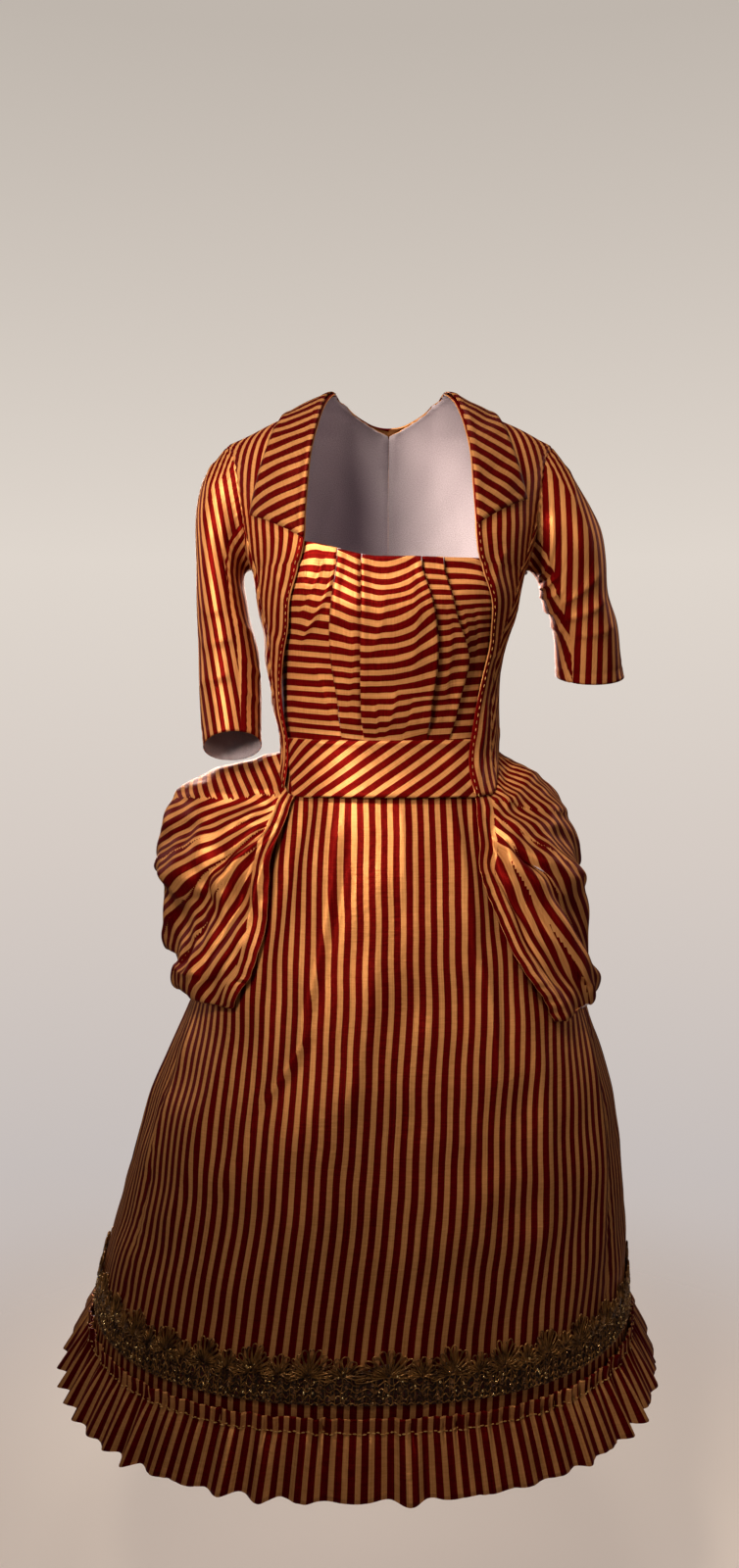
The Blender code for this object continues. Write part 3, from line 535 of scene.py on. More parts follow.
def ruffleWave(turn):
    # each wave has a depth of its own, as in hand gathering
    place = np.mod(turn, 1.0) * ruffle["waves"]
    first = np.floor(place).astype(int) % ruffle["waves"]
    second = (first + 1) % ruffle["waves"]
    size = waveSize[first] + (waveSize[second] - waveSize[first]) * smooth(np.mod(place, 1.0))
    drift = 0.22 * np.sin(7 * turn * math.tau) + 0.16 * np.sin(17 * turn * math.tau + 1.0)
    depth = 0.80 + 0.20 * np.sin(11 * turn * math.tau + 2.0)
    return size * depth * np.cos(ruffle["waves"] * turn * math.tau + drift)


def pinched(turn, z):
    # narrow folds, each from the gathering thread down to a length of its own
    chance = np.random.default_rng(31)
    total = np.zeros_like(z)
    for k in range(ruffle["pinches"]):
        centre = (k + chance.uniform(0.1, 0.9)) / ruffle["pinches"]
        length, depth = chance.uniform(*ruffle["pinchLength"]), chance.uniform(*ruffle["pinchDepth"])
        lean = chance.uniform(-0.12, 0.12)
        drop = ruffle["gatherLine"] - z
        away = (np.mod(turn - centre + 0.5, 1.0) - 0.5) * ruffle["girth"] + lean * drop
        near = np.exp(-((away / ruffle["pinchWidth"]) ** 2)) - 0.7 * np.exp(-(((away - 0.0052) / 0.004) ** 2))
        total -= depth * near * np.exp(-np.abs(drop) / length)
    return total


def makeRuffle():
    turn = np.linspace(0.0, 1.0, ruffle["columns"] + 1)[None]
    z = np.linspace(ruffle["bottom"], ruffle["top"], ruffle["rows"] + 1)[:, None]
    turn, z = np.broadcast_arrays(turn, z)
    line = ruffle["gatherLine"]
    share = np.clip((line - z) / (line - ruffle["bottom"]), 0.0, 1.0)
    header = np.clip((z - line) / (ruffle["top"] - line), 0.0, 1.0)
    start, hemAdds, headerAdds = ruffle["reach"]
    reach = start + hemAdds * share**0.92 + headerAdds * header
    start, hemAdds, headerAdds = ruffle["depth"]
    depth = start + hemAdds * share**0.8 + headerAdds * header
    pull = np.sin(ruffle["puckers"] * turn * math.tau + 2.2 * np.sin(23 * turn * math.tau))
    pull2 = np.sin(171 * turn * math.tau + 1.6 * np.sin(31 * turn * math.tau + 1.0))
    fine = np.exp(-((z - line) / 0.009) ** 2)
    run = np.exp(-np.clip(line - z, 0, 1) / 0.020)
    small = 0.0012 * pull * fine + 0.0014 * pull2 * run * (0.5 + 0.5 * fine) + pinched(turn, z)
    points = onSkirt(360.0 * turn, z, reach + depth * ruffleWave(turn) + small)
    points[..., 2] -= 0.0012 * ruffleWave(turn + 0.003) * share
    u = arcAcross(points)
    u = u[ruffle["rows"] // 3][None] * np.ones_like(z) + 0.0004 * pull * fine
    piece = makeCloth("ruffleCloth", points, [np.stack((u, z), -1)], closed=True)
    standFor(piece, "striped_satin", "ruffle")
    return points


rufflePoints = makeRuffle()
print("ruffle made")


# Plastron and belt

frontEdgeRows = (  # height, distance of the jacket's edge from the centre line, right and left
    (-0.415, 0.0930, 0.0900),
    (-0.380, 0.0985, 0.0820),
    (-0.345, 0.1035, 0.0790),
    (-0.300, 0.1075, 0.0850),
    (-0.260, 0.1090, 0.0955),
    (-0.220, 0.1080, 0.1060),
    (-0.190, 0.1030, 0.1035),
    (-0.160, 0.0930, 0.0915),
    (-0.134, 0.0870, 0.0860),
    (-0.110, 0.0860, 0.0850),
    (-0.081, 0.0840, 0.0830),
    (-0.046, 0.0810, 0.0810),
    (-0.018, 0.0750, 0.0760),
    (0.011, 0.0660, 0.0670),
    (0.0255, 0.0560, 0.0570),
)
plastron = {
    "top": -0.136, "bottom": -0.3714, "under": 0.013, "dip": 0.018,
    "rise": 0.0036, "sideRise": 0.0025, "fold": 0.0014, "lap": 0.0017, "blouse": 0.009, "rows": 66,
    "strips": (34, 6, 24, 6, 62, 6, 26, 6, 34),  # columns of each strip and of each fold between them
}
pleatRows = (  # height, then the pleats' edges from the wearer's right to left
    (-0.375, -0.0520, -0.0285, 0.0385, 0.0590),
    (-0.300, -0.0530, -0.0285, 0.0410, 0.0700),
    (-0.250, -0.0590, -0.0285, 0.0450, 0.0780),
    (-0.200, -0.0590, -0.0285, 0.0430, 0.0660),
    (-0.150, -0.0540, -0.0290, 0.0300, 0.0530),
)
pleatDroop = (  # centre of the sag, its depth at the centre, slope: one row for each strip of cloth
    (-0.085, 0.002, 0.36),
    (-0.042, 0.004, 0.50),
    (-0.004, 0.010, -0.12),
    (0.056, 0.008, -0.42),
    (0.090, 0.004, -0.20),
)
plastronCreases = (
    (-60, -150, -88, -242, 4, 3.6, 1.6),
    (-72, -150, -94, -214, 4, -2.4, 0.8),
    (-84, -262, -58, -330, 5, 1.8, 0.3),
    (-8, -170, -18, -250, 9, 1.2, 0.6),
    (18, -160, 26, -262, 8, 1.4, 0.6),
    (4, -280, -4, -345, 5, 1.4, 0.8),
    (20, -290, 14, -346, 4, -1.2, 0.6),
    (-18, -296, -12, -346, 4, 1.2, 0.6),
    (52, -180, 60, -300, 5, 1.2, 0.6),
    (70, -190, 84, -262, 4, 1.6, 0.8),
    (84, -188, 92, -250, 4, -1.4, 0.6),
    (-44, -200, -40, -320, 5, 1.0, 0.5),
)
belt = {"top": -0.3465, "bottom": -0.4110, "under": 0.008, "flare": 0.003, "tilt": -33.0, "rows": 30, "columns": 110}


def frontEdges(z):
    return -along(frontEdgeRows, z, 1), along(frontEdgeRows, z, 2)


def lapped(s):
    # how far the cloth moves at a pleat's fold, so that the upper layer lies over the lower one
    half = plastron["fold"] / 2
    away = np.exp(-np.clip(np.abs(s) - half, 0, 1) / 0.006)
    inside = np.abs(s) <= half
    return np.where(inside, -s * (1 + plastron["lap"] / half), -plastron["lap"] * np.sign(s) * away)


def makePlastron():
    share = np.linspace(0.0, 1.0, plastron["rows"] + 1)[:, None]
    level = plastron["bottom"] + (plastron["top"] - plastron["bottom"]) * share
    right, left = frontEdges(level)
    right, left = right - plastron["under"], left + plastron["under"]
    edges = np.concatenate([along(pleatRows, level, k) for k in range(1, 5)], 1)
    half = plastron["fold"] / 2
    # columns that follow each pleat's fold, with close columns across the fold itself
    stops = np.concatenate((right, edges[:, :1] - half, edges[:, :1] + half, edges[:, 1:2] - half,
                            edges[:, 1:2] + half, edges[:, 2:3] - half, edges[:, 2:3] + half,
                            edges[:, 3:4] - half, edges[:, 3:4] + half, left), 1)
    counts = plastron["strips"]
    parts = [stops[:, k:k + 1] + (stops[:, k + 1:k + 2] - stops[:, k:k + 1]) * np.arange(n)[None] / n
             for k, n in enumerate(counts)]
    x = np.concatenate(parts + [left], 1)
    level, share = np.broadcast_to(level, x.shape), np.broadcast_to(share, x.shape)
    steps = (x - edges[:, :1], x - edges[:, 1:2], edges[:, 2:3] - x, edges[:, 3:4] - x)
    over = sum(smooth(0.5 + s / plastron["fold"]) for s in steps) - 2.0
    # each pleat's folded edge rolls up before it drops to the one below
    roll = sum(np.exp(-(((s - 0.003) / 0.0035) ** 2)) for s in steps)
    under = sum(w * np.exp(-(((s + 0.0024) / 0.0018) ** 2)) for w, s in zip((1.0, 1.7, 1.3, 1.0), steps))
    aboveBelt = smooth((level - belt["top"]) / 0.03)
    sides = plastron["sideRise"] * smooth((np.abs(x) - 0.060) / 0.035) * aboveBelt
    full = np.clip((level - belt["top"]) / (plastron["top"] - belt["top"]), 0.0, 1.0)
    blouse = plastron["blouse"] * np.sin(np.pi * full) ** 1.5 * np.cos(x / 0.075) ** 2
    z = level - plastron["dip"] * share * smooth((x + 0.10) / 0.09)
    fold, taken = creases(plastronCreases, x, level)
    visible = aboveBelt * smooth((0.108 - np.abs(x)) / 0.012) * smooth((1.0 - share) / 0.06 + 0.2)
    lift = lifts["plastron"] + plastron["rise"] * over * (0.25 + 0.75 * aboveBelt) + sides + blouse
    lift = lift + (fold * 0.8 + 0.0012 * roll - 0.0016 * under + softWaves(x, level, 11, 0.05, 0.0006)) * visible
    tucked = sum(w * lapped(s) for w, s in zip((1, 1, -1, -1), steps)) * aboveBelt
    points = onFront(x + tucked, z, lift)
    up = arcUp(points)
    strip = np.concatenate([np.full(n, v) for n, v in zip(counts, (0, 0, 1, 1, 2, 3, 3, 4, 4))])
    uvs = []
    fading = 0.25 + 0.75 * smooth((full - 0.35) / 0.5)
    for centre, sag, slope in pleatDroop:
        droop = (sag * ((x - centre) / 0.030) ** 2 - slope * (x - centre)) * fading
        uvs.append(np.stack((up - droop + 2 * taken + 0.0037 * centre / 0.03, x), -1))
    island = np.broadcast_to(strip, (x.shape[0] - 1, x.shape[1] - 1))
    piece = makeCloth("plastronCloth", points, uvs, island=island, inside=cottonLining, thickness=0.0008)
    standFor(piece, "striped_satin", "plastron")


def makeBelt():
    share = np.linspace(0.0, 1.0, belt["rows"] + 1)[:, None]
    z = belt["bottom"] + (belt["top"] - belt["bottom"]) * share
    right, left = frontEdges(z)
    low, high = right - belt["under"], left + belt["under"]
    x = low + (high - low) * np.linspace(0, 1, belt["columns"] + 1)[None]
    z, share = np.broadcast_to(z, x.shape), np.broadcast_to(share, x.shape)
    end = smooth((np.minimum(x - low, high - x) - 0.012) / 0.020)
    edge = np.minimum(share, 1 - share) * (belt["top"] - belt["bottom"])
    # turned edges are a little thicker, and the body of the belt buckles softly
    roll = 0.0006 * np.exp(-(((edge - 0.0045) / 0.003) ** 2)) - 0.0006 * np.exp(-((edge / 0.0012) ** 2))
    buckle = softWaves(x, z, 21, 0.06, 0.0007) * smooth(edge / 0.01)
    lift = lifts["belt"] + (belt["flare"] * (1 - share) + roll + buckle) * end
    points = onFront(x, z, lift)
    u, v = arcAcross(points), arcUp(points)
    middle = belt["columns"] // 2
    uv = turned(v, u - u[:, middle:middle + 1], belt["tilt"])
    piece = makeCloth("beltCloth", points, [uv], inside=cottonLining, thickness=0.0012)
    standFor(piece, "striped_satin", "belt")


makePlastron()
makeBelt()
print("plastron and belt made")


# Jacket

jacket = {"dip": -0.0480, "below": 64, "above": 64, "columns": 48, "sideColumns": 40, "sideTop": 0.24875,
          "topLevel": 0.9995, "ease": 0.011, "easeHeight": -0.275, "grainStart": 0.0015}
sideSeamRows = (  # level, angle of the front seam on the right and the left, angle from the back
    (-0.250, 80.0, 64.0, 62.0),
    (-0.100, 77.0, 65.0, 66.0),
    (0.000, 73.5, 69.0, 70.0),
    (0.250, 73.0, 73.0, 75.0),
)
armholeRows = (  # share of the way up, angle in front, angle behind
    (0.00, 90.0, 90.0),
    (0.10, 80.0, 81.0),
    (0.25, 73.0, 75.0),
    (0.45, 70.0, 73.0),
    (0.65, 70.0, 73.0),
    (0.85, 76.0, 78.0),
    (1.00, 87.0, 87.0),
)
backNeckRows = (
    (-0.060, 0.0000),
    (-0.006, 0.0000),
    (0.002, 0.0160),
    (0.010, 0.0320),
    (0.018, 0.0450),
    (0.0255, 0.0560),
)
jacketCreases = {  # across from the front edge or the centre back, and height
    "front_right": (
        (8, -205, 34, -160, 6, 1.6, 0.4), (6, -250, 40, -225, 7, 1.4, 0.4),
        (20, -300, 8, -395, 6, 1.8, 0.6), (34, -260, 30, -360, 8, -1.4, 0.4),
        (12, -110, 40, -60, 8, 1.2, 0.3), (30, -345, 14, -410, 5, 1.6, 0.5)),
    "front_left": (
        (6, -190, 40, -140, 7, 1.8, 0.4), (10, -262, 38, -236, 7, 1.4, 0.4),
        (14, -300, 10, -400, 6, 2.0, 0.6), (28, -290, 26, -380, 7, -1.4, 0.4),
        (12, -100, 44, -56, 8, 1.2, 0.3), (24, -345, 10, -405, 5, 1.8, 0.5)),
    "side": ((6, -180, 30, -280, 7, 1.5, 0.4), (30, -200, 34, -340, 8, -1.2, 0.3), (10, -300, 40, -350, 6, 1.4, 0.4)),
    "back": (
        (22, -120, 70, -170, 9, 1.5, 0.4), (16, -180, 60, -240, 10, 1.4, 0.4),
        (12, -280, 50, -350, 8, 1.6, 0.4), (60, -60, 88, -130, 9, -1.4, 0.3)),
}
jacketGrain = {  # degrees by which the stripes lean from the panel's own edge
    "front_right": 0.0, "front_left": 0.0, "side_right": 28.0, "side_left": -30.0,
    "back_right": 0.0, "back_left": 0.0,
}


def edgeByLevel(rows, column):
    table = np.array(rows, float)
    return np.stack((levelAt(table[:, 0], table[:, column]), table[:, column]), 1)


def waistSeam(angle):
    return form["waistSeam"] + jacket["dip"] * smooth((86.0 - np.abs(angle)) / 36.0)


def armholeAngle(level, back):
    return along(armholeRows, level, 2 if back else 1)


def outerAngle(level, back, name):
    seamColumn = 3 if back else (1 if name == "right" else 2)
    seam = along(sideSeamRows, level, seamColumn)
    return np.where(level >= jacket["sideTop"], armholeAngle(level, back), seam)


def jacketLevel(angle, rough):
    scaled = rough * (waistSeam(angle) - form["underarm"]) / (form["waistSeam"] - form["underarm"])
    return np.where(rough < 0, scaled, rough)


def panelLevels(top):
    below = np.linspace(form["waistSeam"] - form["underarm"], 0.0, jacket["below"] + 1)
    knee = np.linspace(0.0, jacket["sideTop"], jacket["above"] // 4 + 1)[1:]
    above = np.linspace(jacket["sideTop"], jacket["topLevel"], jacket["above"] - jacket["above"] // 4 + 1)[1:]
    return np.concatenate((below, knee) if top == "side" else (below, knee, above))


def sideEase(angle, level, side):
    # on the wearer's right the jacket stands off the waist a little
    z = form["underarm"] + np.minimum(level, 0)
    place = np.exp(-(((z - jacket["easeHeight"]) / 0.065) ** 2)) * smooth((z - form["waistSeam"] - 0.004) / 0.04)
    return jacket["ease"] * place * np.exp(-(((angle - 88.0) / 28.0) ** 2)) * (side < 0)


def finishPanel(key, angle, level, side, edges, flip):
    # creases, seam dips and cloth coordinates of one panel, then the piece itself
    points = lifted(angle * side, level, lifts["jacket"] + sideEase(angle, level, side))
    if edges.get("shoulder") is not None:
        points[..., 1] += edges["shoulder"]
    across = arcAcross(points)
    up = arcUp(points)
    height = points[..., 2]
    part = key if key in jacketCreases else key.split("_")[0]
    fold, taken = creases(jacketCreases[part], across, height)
    uneven = softWaves(across, height, len(key) * 7 + side, 0.07, 0.0007)
    toFirst, toLast = across, across[:, -1:] - across
    dip = seamPucker(toLast, up, 3.0)
    if edges["inner"] == "seam":
        dip = dip + seamPucker(toFirst, up, 3.0)
    else:
        dip = dip - 0.0010 * np.exp(-((toFirst / 0.0012) ** 2)) + 0.0004 * np.exp(-(((toFirst - 0.006) / 0.003) ** 2))
    free = smooth(np.minimum(toFirst, toLast) / 0.008)
    rise = (fold + uneven) * free * smooth((level - level.min() + 0.004) / 0.02) + dip
    points = points + gridNormals(points) * (rise * (-1 if flip else 1))[..., None]
    uv = turned(across + taken + jacket["grainStart"], up, jacketGrain[key])
    if flip:
        points, uv = points[:, ::-1], uv[:, ::-1]
    name = "jacket" + "".join(word.capitalize() for word in key.split("_"))
    piece = makeCloth(name, points, [uv], inside=cottonLining)
    standFor(piece, "striped_satin", "jacket_" + key)
    return points


def makeJacketPanel(name, back, edgeRows):
    side = 1 if name == "left" else -1
    level = panelLevels("all")[:, None]
    inner = angleAt(np.maximum(0.00005, along(edgeRows, level, 1)), level, back)
    outer = outerAngle(level, back, name)
    if back:
        outer = 180.0 - outer
    angle = inner + (outer - inner) * np.linspace(0, 1, jacket["columns"] + 1)[None]
    rough = np.broadcast_to(level, angle.shape)
    shoulder = np.where(rough > 0.9, form["seam"] * (0.1 if back else -0.1), 0.0)
    edges = {"inner": "seam" if back else "edge", "shoulder": shoulder}
    key = ("back_" if back else "front_") + name
    return finishPanel(key, angle, jacketLevel(angle, rough), side, edges, (side > 0) == back)


def makeSidePanel(name):
    side = 1 if name == "left" else -1
    low = [(row[1], row[0]) for row in reversed(armholeRows[:3])]
    level = panelLevels("side")[:, None]
    front = outerAngle(level - 1e-6, False, name)
    back = 180.0 - outerAngle(level - 1e-6, True, name)
    share = np.linspace(0.0, 1.0, jacket["sideColumns"] + 1)[None]
    across = 90.0 - np.abs(2 * share - 1) * (90.0 - low[0][0])
    top = np.maximum(0.02, along(low, across, 1)) / jacket["sideTop"]
    angle = front + (back - front) * share
    rough = np.where(level <= 0, level, level * np.minimum(1.0, top))
    edges = {"inner": "seam", "shoulder": None}
    return finishPanel("side_" + name, angle, jacketLevel(angle, rough), side, edges, side < 0)


jacketEdges = {}
for name in ("right", "left"):
    column = 1 if name == "right" else 2
    jacketEdges[name] = makeJacketPanel(name, False, edgeByLevel(frontEdgeRows, column))
    makeSidePanel(name)
    makeJacketPanel(name, True, edgeByLevel(backNeckRows, 1))
print("jacket made")


# Sleeves

sleeve = {
    "points": 120, "rows": 100, "armholeRound": 1.4, "armholeLow": 0.02, "setIn": 1.6, "under": 0.0024,
    "girth": 0.27, "capGathers": 46, "cuffHem": 0.955,
    "turnIn": 0.15,  # from this turn outwards the cloth is measured round the arm
}
sleeveRows = {  # outer x, outer z, inner x, inner z, y, half depth, tilt of the front, roundness
    "right": (
        (0.1960, -0.0370, 0.1630, -0.1580, 0.000, 0.043, 0.0, 0.50),
        (0.2090, -0.0580, 0.1650, -0.1660, -0.001, 0.046, 0.0, 0.90),
        (0.2160, -0.0900, 0.1640, -0.1800, -0.003, 0.047, 0.0, 1.0),
        (0.2170, -0.1300, 0.1600, -0.2000, -0.006, 0.047, 0.0, 1.0),
        (0.2165, -0.1800, 0.1540, -0.2250, -0.010, 0.046, 3.0, 1.0),
        (0.2150, -0.2300, 0.1470, -0.2560, -0.015, 0.044, 7.0, 1.0),
        (0.2135, -0.2780, 0.1440, -0.2900, -0.021, 0.042, 13.0, 1.0),
        (0.2105, -0.3220, 0.1430, -0.3230, -0.028, 0.041, 20.0, 1.0),
        (0.2075, -0.3590, 0.1425, -0.3530, -0.038, 0.040, 27.0, 1.0),
    ),
    "left": (
        (0.1960, -0.0390, 0.1630, -0.1580, 0.001, 0.043, 0.0, 0.50),
        (0.2110, -0.0640, 0.1660, -0.1650, 0.003, 0.046, 0.0, 0.90),
        (0.2260, -0.0890, 0.1690, -0.1740, 0.006, 0.048, -2.0, 1.0),
        (0.2400, -0.1130, 0.1730, -0.1850, 0.011, 0.048, -4.0, 1.0),
        (0.2470, -0.1450, 0.1770, -0.1990, 0.018, 0.046, -7.0, 1.0),
        (0.2520, -0.1830, 0.1850, -0.2130, 0.027, 0.044, -9.0, 1.0),
        (0.2640, -0.2150, 0.1920, -0.2310, 0.036, 0.042, -12.0, 1.0),
        (0.2700, -0.2460, 0.1945, -0.2530, 0.045, 0.041, -14.0, 1.0),
        (0.2770, -0.2780, 0.1970, -0.2790, 0.054, 0.040, -15.0, 1.0),
    ),
}
sleeveGrain = {  # place of one red stripe, its lean, fullness of the upper sleeve; lean of the under sleeve
    "right": (-0.1848, -0.2035, 0.18, 1.30, 3.0),
    "left": (0.1967, -0.1324, 0.04, 1.00, 14.0),
}
sleeveSeams = {"right": (0.315, 0.80), "left": (0.36, 0.82)}  # turns of the front and the back seam
sleeveCreases = {  # turn of the ring and length from the armhole, both in thousandths
    "right": (
        (120, 610, 300, 560, 26, 2.4, 1.0), (90, 700, 310, 660, 24, 2.6, 1.0), (60, 800, 290, 790, 22, 2.2, 0.8),
        (330, 700, 480, 760, 26, 2.4, 0.8), (340, 820, 470, 860, 22, 2.0, 0.6), (330, 560, 470, 600, 26, 2.0, 0.6),
        (700, 600, 860, 560, 28, 2.4, 0.8), (680, 720, 880, 700, 26, 2.2, 0.8), (20, 160, 140, 240, 34, 1.8, 0.4),
        (250, 180, 330, 330, 34, 2.0, 0.5), (780, 160, 900, 240, 34, 1.8, 0.4)),
    "left": (
        (150, 560, 350, 600, 24, 3.0, 1.0), (120, 660, 360, 690, 22, 3.0, 1.0), (330, 520, 520, 470, 26, 3.0, 1.0),
        (380, 620, 540, 590, 24, 2.8, 0.8), (380, 730, 530, 720, 22, 2.2, 0.8), (100, 770, 330, 780, 20, 2.0, 0.6),
        (700, 620, 880, 580, 28, 2.4, 0.8), (690, 740, 880, 710, 26, 2.0, 0.8), (30, 160, 160, 260, 34, 1.8, 0.4),
        (250, 160, 360, 300, 34, 2.2, 0.5), (780, 160, 900, 250, 34, 1.8, 0.4), (350, 360, 500, 330, 18, -3.2, 0.8),
        (340, 420, 490, 400, 18, 3.4, 0.8), (360, 300, 470, 280, 16, 2.8, 0.6)),
}


def armholePoint(turn, side):
    back = turn > 0.5
    level = np.abs(1.0 - 2.0 * turn) ** sleeve["armholeRound"]
    level = np.maximum(sleeve["armholeLow"], np.minimum(level, 0.985))
    setIn = sleeve["setIn"] * np.abs(np.sin(turn * math.tau))
    angle = np.where(back, 180.0 - armholeAngle(level, True) + setIn, armholeAngle(level, False) - setIn)
    level = np.maximum(0.002, level - 0.02 * smooth((0.16 - level) / 0.14))
    return lifted(angle * side, level, np.full_like(level, lifts["jacket"] - sleeve["under"]))


def makeSleeve(name, side):
    table = np.array(sleeveRows[name])
    armhole = 2 * table[0] - table[1]  # the armhole itself takes the place of this first ring
    armhole[7] = 0.0
    table = np.concatenate((armhole[None], table))
    knots = np.arange(len(table), dtype=float)
    step = np.linspace(0.0, len(table) - 1.0, sleeve["rows"] + 1)[:, None]
    turn = np.linspace(0.0, 1.0, sleeve["points"] + 1)[None]
    step, turn = np.broadcast_arrays(step, turn)
    values = [hermite(knots, table[:, k], step) for k in range(8)]
    outerX, outerZ, innerX, innerZ, y, depth, tilt, roundness = values
    a, tilt = turn * math.tau, np.radians(tilt)
    outer = np.stack((side * outerX, y, outerZ), -1)
    inner = np.stack((side * innerX, y, innerZ), -1)
    ahead = np.stack((np.zeros_like(tilt), -np.cos(tilt), np.sin(tilt)), -1)
    blend = (0.5 - 0.5 * np.cos(a))[..., None]
    ring = outer + (inner - outer) * blend + ahead * (depth * np.sin(a))[..., None]
    start = armholePoint(turn, side)
    points = start + (ring - start) * np.clip(roundness, 0, 1)[..., None]
    share = step / (len(table) - 1)
    fold, _ = creases(sleeveCreases[name], turn, share)
    uneven = softWaves(turn * 0.28, share * 0.3, 31 + side, 0.07, 0.0006)
    seamFront, seamBack = sleeveSeams[name]
    down = arcUp(points)
    toSeam = np.minimum(np.abs(turn - seamFront), np.abs(turn - seamBack)) * sleeve["girth"]
    dip = seamPucker(toSeam, down, 6.0 + side)
    # eased into the armhole, and its hem stitched at the cuff
    cap = 0.0008 * np.sin(turn * math.tau * sleeve["capGathers"]) * np.exp(-((down / 0.018) ** 2))
    band = -0.0008 * np.exp(-(((share - sleeve["cuffHem"]) / 0.006) ** 2))
    wrap = smooth(np.minimum(turn, 1 - turn) / 0.02)
    free = smooth(share / 0.05) * smooth((1.0 - share) / 0.03 + 0.15)
    rise = (fold * wrap + uneven * wrap) * free + dip + cap + band
    normals = gridNormals(points) * side
    points = points + normals * rise[..., None]
    across = arcAcross(points)
    frontColumn = int(round(seamFront * sleeve["points"]))
    across = across - across[:, frontColumn:frontColumn + 1]
    redX, redZ, lean, fullness, underLean = sleeveGrain[name]
    straight = fullness * (points[..., 0] - redX + lean * (points[..., 2] - redZ)) * -side + stripePitch / 2
    turnIn = int(sleeve["turnIn"] * sleeve["points"])
    outwards = straight[:, turnIn:turnIn + 1] + across - across[:, turnIn:turnIn + 1]
    column = np.arange(sleeve["points"] + 1)[None]
    upper = np.stack((np.where(column >= turnIn, straight, outwards), down), -1)
    under = turned(across + 0.003, down, underLean)
    middle = (np.arange(sleeve["points"]) + 0.5) / sleeve["points"]
    isUnder = (middle > seamFront) & (middle < seamBack)
    island = np.broadcast_to(np.where(isUnder, 1, 0), (sleeve["rows"], sleeve["points"]))
    after = middle > seamBack
    upperBack = np.stack((outwards[:, :1] + across - across[:, -1:], down), -1)
    island = np.where(np.broadcast_to(after, island.shape), 2, island)
    uvs = [upper, under, upperBack]
    # the piece's rows run upwards, and its columns so that faces look out
    if side < 0:
        grid, maps, island = points[::-1], [uv[::-1] for uv in uvs], island[::-1]
    else:
        grid = points[::-1, ::-1]
        maps, island = [uv[::-1, ::-1] for uv in uvs], island[::-1, ::-1]
    piece = makeCloth("sleeve" + name.capitalize(), grid, maps, closed=True, island=island, inside=cottonLining)
    standFor(piece, "striped_satin", "sleeve_" + name)


makeSleeve("right", -1)
makeSleeve("left", 1)
print("sleeves made")


# Collar

collar = {"across": 30, "around": 260, "thickness": 0.0014, "grain": {"right": 20.0, "left": -30.0}}
collarRows = {  # inner edge across and height, outer edge across and height
    "right": (
        (0.0870, -0.1340, 0.1420, -0.1050),
        (0.0862, -0.1180, 0.1405, -0.0960),
        (0.0850, -0.0900, 0.1340, -0.0650),
        (0.0820, -0.0550, 0.1270, -0.0400),
        (0.0770, -0.0250, 0.1210, -0.0200),
        (0.0700, 0.0020, 0.1160, -0.0100),
    ),
    "left": (
        (0.0860, -0.1200, 0.1380, -0.0900),
        (0.0855, -0.1050, 0.1365, -0.0820),
        (0.0840, -0.0800, 0.1310, -0.0580),
        (0.0815, -0.0500, 0.1250, -0.0370),
        (0.0775, -0.0220, 0.1200, -0.0190),
        (0.0710, 0.0040, 0.1160, -0.0100),
    ),
}
collarBehind = (  # behind the shoulder seam: across and arc of the inner and the outer edge
    (0.0580, 0.0, 0.1110, 0.0),
    (0.0480, 0.22, 0.0960, 0.34), (0.0240, 0.33, 0.0520, 0.50), (0.0, 0.36, 0.0, 0.56),
)


def onYoke(x, arc, lift):
    level = 1.0 - np.abs(arc)
    angle = np.where(arc > 0, angleAt(np.abs(x), level, True), angleAt(np.abs(x), level))
    return lifted(np.copysign(angle, x), level, lift)


def collarLine(name, side):
    line = [(side * ix, float(levelAt(iz, ix)) - 1.0, side * ox, float(levelAt(oz, ox)) - 1.0)
            for ix, iz, ox, oz in collarRows[name]]
    return line + [(side * ix, ia, side * ox, oa) for ix, ia, ox, oa in collarBehind]


